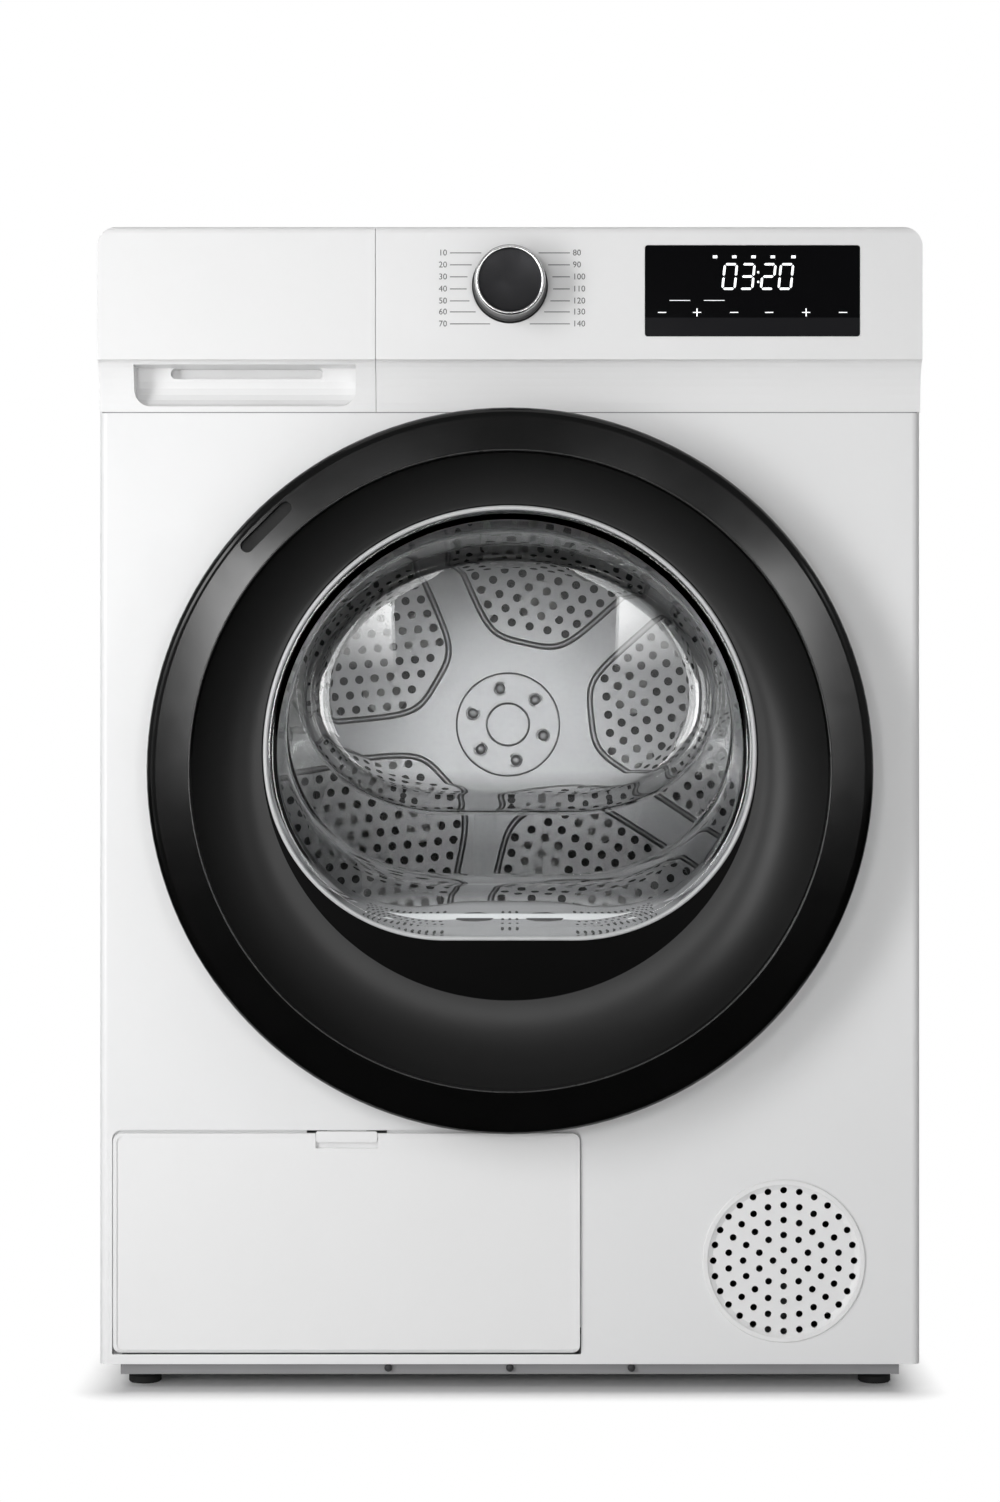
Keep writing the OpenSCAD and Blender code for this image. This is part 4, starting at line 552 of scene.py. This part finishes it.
# Stations of the bowl by depth, and at each how far its outline draws in, lifts and flattens.
depths = np.array([-0.006, 0.022, 0.108, 0.1198])
draws = np.array([[-0.005, -0.012, -0.018, -0.030], [0.0, 0.016, 0.041, 0.043],
                  [1.0, 0.9, 0.75, 0.71]])
wall, crown = 0.005, 0.0008


def bowl_rows(inset, back):
    """Rows from the rim to the middle of the face: stations joined smoothly, a rounded shoulder,
    then the face with a slight crown."""
    made = []
    for t in np.linspace(0, 1, 28):
        d = depths[0] + (depths[2] - depths[0]) * t
        w, lift, squeeze = (np.interp(d, depths, row) for row in draws)
        made.append(window_row(d - inset * t, w - inset, lift, squeeze))
    for t in np.linspace(0, 1, 10)[1:]:
        a = t * math.pi / 2
        d = depths[2] + (back - depths[2]) * math.sin(a) - inset * (1 - t)
        k = 1 - math.cos(a)
        w, lift, squeeze = (row[2] + (row[3] - row[2]) * k for row in draws)
        made.append(window_row(d, w - inset, lift, squeeze))
    for t in np.linspace(1, 0.002, 16)[1:]:
        made.append(window_row(back + crown * (1 - t * t), draws[0][3] - inset, draws[1][3],
                               draws[2][3], t))
    return made


face_depth = 0.1188
outside = bowl_rows(0.0, face_depth)
inside = bowl_rows(wall, face_depth - wall)
rim = [window_row(-0.0085, -0.0108), window_row(-0.009, -0.0103), window_row(-0.009, -0.0012),
       window_row(-0.0085, -0.0006), window_row(-0.006, -0.0006)]
bowl_faces = np.stack(inside[::-1] + rim + outside)
bowl = piece("glass_bowl", [skin(bowl_faces, False, True)], glass, "door")
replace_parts(bowl, "door_glass")

# A pale bead round the glass shows as a bright line: a painted highlight of the glass's thick
# edge.
rim_line_r = 0.0017
rim_highlight, shader, w = finish("painted_rim_highlight", Specular_IOR_Level=0.5)
lead(shader, Base_Color=grain(w, 60.0).mix((0.5, 0.505, 0.51, 1), (0.6, 0.605, 0.61, 1)),
     Roughness=0.2 + 0.1 * grain(w, 200.0))
edge = window_row(-0.0092, -0.0022)
piece("glass_rim", [bead(edge[::-1], rim_line_r, 12)], rim_highlight, "door")

# ---- Filter lip ----
# The lint filter's mouth: a pale moulded lip that slopes up behind the glass along the window's
# lower edge, pierced with small air holes and two finger recesses over a fine mesh.
def lip_point(angle, v):
    """Lip surface by direction from the window's centre and share v of its slope, which rises
    inwards from the window's edge and narrows towards both ends."""
    middle = np.clip(1.25 - np.abs(angle + math.pi / 2) / 0.85, 0, 1)
    width = end_width + more_width * middle * middle * (3 - 2 * middle)
    w = -edge_gap - width * v
    reach = window_edge(angle, w)
    return np.stack([reach * np.cos(angle), front_y + 0.003 + lip_rise * v,
                     window_z + reach * np.sin(angle)], -1)


end_width, more_width, lip_rise, edge_gap, lip_back = 0.007, 0.018, 0.021, 0.0015, 0.004
across = np.radians(np.linspace(-150, -30, 121))
up = np.array([-0.12, 0.0, 0.04, 0.25, 0.5, 0.75, 0.96, 1.0])
angles, shares = np.meshgrid(across, up, indexing="ij")
lip = lip_point(angles, shares)
lip[:, 0, 1] += lip_back
tail = lip[:, -1:, :] + np.array([0, 0.012, 0.0004])
lip_grey = moulding("filter_lip_moulding", (0.24, 0.24, 0.245), (0.28, 0.28, 0.285), 0.4)
piece("filter_lip", [skin(np.concatenate([lip, tail], 1)[::-1])], lip_grey, "cabinet")
hole_turn = np.linspace(0, 2 * np.pi, 9, endpoint=False)


def lip_disc(x, v, rx, rz, lift=0.00025):
    """A flat oval that lies on the lip at x metres from the middle."""
    base = math.atan2(-window_flat + edge_gap, x)
    centre = lip_point(np.array([base]), np.array([v]))[0]
    step = lip_point(np.array([base]), np.array([v + 0.05]))[0] - centre
    step /= np.linalg.norm(step)
    at = centre + rx * np.cos(hole_turn)[:, None] * np.array([1.0, 0, 0])
    at = at + rz * np.sin(hole_turn)[:, None] * step + np.array([0, -lift, lift])
    return at, np.array([list(range(8, -1, -1))])


# Holes and finger recesses are flat dark ovals on the lip, not cut: their dark grey is partly the
# mesh behind and partly painted shade inside them.
pits, shader, w = finish("mesh_and_hole_shade", Specular_IOR_Level=0.2)
lead(shader, Base_Color=grain(w, 900.0).mix(grey(0.02), grey(0.05)),
     Roughness=0.7 + 0.1 * grain(w, 900.0))
# Four staggered rows of holes each side, and a block of nine between the recesses.
hole_r, hole_pitch, first_hole = 0.0013, 0.0058, 0.052
discs = [lip_disc(s * (first_hole + hole_pitch * (i + 0.5 * (j % 2))), 0.25 + 0.17 * j, hole_r,
                  hole_r) for s in (-1, 1) for i in range(13) for j in range(4)]
discs += [lip_disc(hole_pitch * i, 0.3 + 0.2 * j, 0.0012, 0.0012) for i in (-1, 0, 1)
          for j in range(3)]
piece("lip_holes", discs, pits, "cabinet", smooth=False)
recess_x, recess_rx, recess_rz = 0.0285, 0.0145, 0.0052
piece("finger_recesses", [lip_disc(s * recess_x, 0.55, recess_rx, recess_rz) for s in (-1, 1)],
      pits, "cabinet", smooth=False)

# ---- Flap ledge and panel screws ----
# The front panel is joggled behind the service flap, so a ledge of its own enamel closes the gap
# at the flap's sides and top. Three screws hold the panel's lower edge to the base.
flap_low, flap_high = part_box("service_flap")
latch_low, latch_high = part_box("flap_latch")
ledge_y, ledge_t = front_y + 0.0024, 0.0008
low_z, in_x, out_x, latch_gap = flap_low.z + 0.018, 0.0025, 0.004, 0.002
top_in, top_out = flap_high.z - 0.0015, flap_high.z + 0.004
spans = [(flap_low.x - out_x, flap_low.x + in_x, low_z, top_out),
         (flap_high.x - in_x, flap_high.x + out_x, low_z, top_out),
         (flap_low.x + in_x, latch_low.x - latch_gap, top_in, top_out),
         (latch_high.x + latch_gap, flap_high.x - in_x, top_in, top_out)]


def slabs(places, y, thick):
    """Flat bars that face the front: each place is x0, x1, z0, z1, and y is the front face."""
    made = []
    for x0, x1, z0, z1 in places:
        at = np.array([(x, y + d, z) for d in (thick, 0) for x, z in
                       ((x0, z0), (x1, z0), (x1, z1), (x0, z1))])
        made.append((at, np.array([(4, 5, 6, 7), (3, 2, 1, 0), (0, 1, 5, 4), (1, 2, 6, 5),
                                   (2, 3, 7, 6), (3, 0, 4, 7)])))
    return made


piece("flap_ledge", slabs(spans, ledge_y, ledge_t), enamel, "cabinet", smooth=False)
screw_z, screw_y, screw_x = panel_low.z - 0.0032, front_y + 0.0005, 0.089
screw = [(0.0001, 0.0), (0.0018, 0.0002), (0.0026, 0.0009), (0.0028, 0.002), (0.0028, 0.004)]
piece("panel_screws", [turned(screw, x, screw_z, screw_y, 20) for x in (-screw_x, 0, screw_x)],
      dark, "cabinet")

# ---- Joint under the control panel ----
# A thin grey strip lies in the joint where the control panel and the tank drawer meet the front
# panel's upper edge: painted shade, showing the joint's shadow as a fine line right across.
joint_x, joint_z = panel_high.x - 0.002, panel_high.z
joint_shade_strip = rubber("joint_shade_strip", (0.24, 0.24, 0.24), (0.3, 0.3, 0.3))
joint = [(-joint_x, joint_x, joint_z - 0.0008, joint_z - 0.0001)]
piece("joint_strip", slabs(joint, front_y - 0.00015, 0.0004), joint_shade_strip, "cabinet",
      smooth=False)

# ---- Control panel: knob ----
# A spun metal cap that slips over its spindle, with fine turned rings on its face and a bright
# cut chamfer round the face's edge. A black ring round its foot is a CAD node.
spun, shader, w = finish("spun_metal", Metallic=1.0)
knob_low, knob_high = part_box("knob")
knob_z = (knob_low.z + knob_high.z) / 2
where = w.node("TexCoord", out="Object")
radial = w.node("VectorMath", {"operation": "DISTANCE"}, {0: where, 1: (0, knob_low.y, knob_z)},
                "Value")
rings = w.math("SINE", radial * 9000.0)
lead(shader, Base_Color=(0.5 + 0.5 * rings).mix(grey(0.018, 0.019), grey(0.036, 0.038)),
     Roughness=0.34 + 0.1 * rings, Normal=bump(w, rings, 0.12, 0.0001))
knob_end = knob_low.y
cap = [(0.0001, 0.0008), (0.006, 0.0008), (0.0212, 0.0008), (0.0225, 0.0006), (0.0237, 0.0),
       (0.0245, 0.0004), (0.0255, 0.0018), (0.0255, 0.006), (0.0255, 0.019), (0.0262, 0.0215),
       (0.0267, 0.023), (0.0267, 0.024), (0.003, 0.024), (0.003, 0.036), (0.0001, 0.036)]
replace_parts(piece("knob_cap", [turned(cap, 0, knob_z, knob_end)], spun, "control_knob"),
            "knob")
bright, shader, w = finish("bright_trim", Metallic=1.0)
lead(shader, Base_Color=grain(w, 90.0).mix(grey(0.72), grey(0.8)),
     Roughness=0.2 + 0.1 * grain(w, 400.0))
chamfer = [(0.0229, 0.0003), (0.0237, -0.0002), (0.0246, 0.0002), (0.0257, 0.0019),
           (0.0253, 0.0025), (0.0236, 0.0012), (0.0229, 0.0003)]
piece("knob_chamfer", [turned(chamfer, 0, knob_z, knob_end)], bright, "control_knob")

# ---- Control panel: printing ----
# Screen-printed dark lines lead from the knob to plain numbers, seven each side. The rows are
# given by their height over the knob's middle.
ink, shader, w = finish("grey_ink", Specular_IOR_Level=0.3)
lead(shader, Base_Color=grain(w, 300.0).mix(grey(0.10), grey(0.14)),
     Roughness=0.5 + 0.1 * grain(w, 300.0))
face_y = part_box("control_panel")[0].y
print_t, line_half = 0.00012, 0.0003
label_rows = knob_z + np.array([0.0236, 0.0149, 0.0062, -0.0026, -0.0113, -0.0193, -0.0280])
clear_r, label_x = 0.0315, 0.0436
leads = []
for z in label_rows:
    near = math.sqrt(clear_r ** 2 - (z - knob_z) ** 2)
    leads += [(near, label_x, z - line_half, z + line_half),
              (-label_x, -near, z - line_half, z + line_half)]
piece("dial_lines", slabs(leads, face_y - print_t, print_t), ink, "cabinet",
      smooth=False)


def printed(name, words, x, z, height, y, material, align):
    """Plain numbers as a flat mesh on the panel: x is their end on the align side."""
    cut = bpy.data.curves.new(name, "FONT")
    cut.body, cut.size, cut.align_x, cut.align_y = words, height, align, "CENTER"
    cut.resolution_u = 3
    held = bpy.data.objects.new(name, cut)
    bpy.context.scene.collection.objects.link(held)
    bpy.context.view_layer.update()
    mesh = bpy.data.meshes.new_from_object(held.evaluated_get(
        bpy.context.evaluated_depsgraph_get()))
    bpy.data.objects.remove(held)
    at = np.zeros(len(mesh.vertices) * 3)
    mesh.vertices.foreach_get("co", at)
    at = at.reshape(-1, 3)
    mesh.vertices.foreach_set("co", np.stack([x + at[:, 0], np.full(len(at), y),
                                              z + at[:, 1]], -1).ravel())
    mesh.materials.clear()
    mesh.materials.append(material)
    made = bpy.data.objects.new(name, mesh)
    bpy.context.scene.collection.objects.link(made)
    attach(made, "cabinet")


number_x, number_h, number_y = label_x + 0.002, 0.0062, face_y - 0.0001
for k, z in enumerate(label_rows):
    printed(f"dial_left_{k + 1}", str(10 * (k + 1)), -number_x, z, number_h, number_y, ink,
            "RIGHT")
    printed(f"dial_right_{k + 1}", str(10 * (k + 8)), number_x, z, number_h, number_y, ink,
            "LEFT")

# ---- Control panel: display ----
# A black glass set flush in the panel. Behind it glow four white seven-bar figures, a row of
# small marks above them and six touch marks below, over a paler strip.
screen, shader, w = finish("black_glass", Specular_IOR_Level=0.12, Coat_Roughness=0.02)
glass_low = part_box("display_glass")[0]
strip_h = 0.0135
height = w.node("SeparateXYZ", {}, {0: w.node("TexCoord", out="Object")}, "Z")
strip = (height < glass_low.z + strip_h) * (0.9 + 0.2 * grain(w, 80.0))
lead(shader, Base_Color=strip.mix(grey(0.0015, 0.002), grey(0.012, 0.0135)),
     Roughness=0.06 + 0.04 * grain(w, 60.0))
dress(screen, "display_glass")
lit, shader, w = finish("white_figures", Emission_Strength=0.9)
lead(shader, Emission_Color=grain(w, 200.0).mix((0.86, 0.9, 0.92, 1), (0.95, 0.97, 1.0, 1)),
     Base_Color=grain(w, 200.0).mix(grey(0.7), grey(0.8)))
figure_y, mark_y = glass_low.y - 0.00015, glass_low.y - 0.00017
figure_w, figure_h, bar_w, slant = 0.0088, 0.0178, 0.0017, 0.1
lit_bars = {"0": "abcdef", "2": "abged", "3": "abgcd"}


def figure(digit, x0, z0):
    """Seven-bar figure: pointed bars, leaning to the right."""
    u, v = figure_w, figure_h
    ends = dict(a=((0, v), (u, v)), b=((u, v), (u, v / 2)), c=((u, v / 2), (u, 0)),
                d=((0, 0), (u, 0)), e=((0, v / 2), (0, 0)), f=((0, v), (0, v / 2)),
                g=((0, v / 2), (u, v / 2)))
    made = []
    for key in lit_bars[digit]:
        p, q = (np.array(k, float) for k in ends[key])
        along = (q - p) / np.linalg.norm(q - p)
        across = np.array([-along[1], along[0]]) * bar_w / 2
        p, q = p + along * 0.0005, q - along * 0.0005
        flat = np.array([p, p + along * bar_w / 2 + across, q - along * bar_w / 2 + across, q,
                         q - along * bar_w / 2 - across, p + along * bar_w / 2 - across])
        at = np.stack([x0 + flat[:, 0] + slant * flat[:, 1], np.full(6, figure_y),
                       z0 + flat[:, 1]], -1)
        made.append((at, np.array([[0, 5, 4, 3], [0, 3, 2, 1]])))
    return made


# The time with its colon, the small marks, the touch marks with two crosses, and two short bars.
figure_z, small_z, touch_z, bars_z = 0.8043, 0.8265, 0.7868, 0.7956
figures = []
for digit, x0 in zip("0320", (0.1545, 0.1673, 0.1825, 0.1953)):
    figures += figure(digit, x0, figure_z)
marks = [(0.1798, 0.1812, z, z + 0.0016) for z in (0.8085, 0.8155)]
marks += [(x, x + 0.0032, small_z, small_z + 0.002) for x in
          (0.1475, 0.1615, 0.1755, 0.1895, 0.2045)]
marks += [(x - 0.003, x + 0.003, touch_z, touch_z + 0.0006) for x in
          (0.1106, 0.136, 0.163, 0.1884, 0.2153, 0.2422)]
marks += [(x - 0.0004, x + 0.0004, touch_z - 0.0026, touch_z + 0.0032) for x in (0.136, 0.2153)]
marks += [(x, x + 0.015, bars_z, bars_z + 0.0004) for x in (0.116, 0.141)]
piece("display_figures", figures + slabs(marks, mark_y, print_t), lit, "cabinet",
      smooth=False)
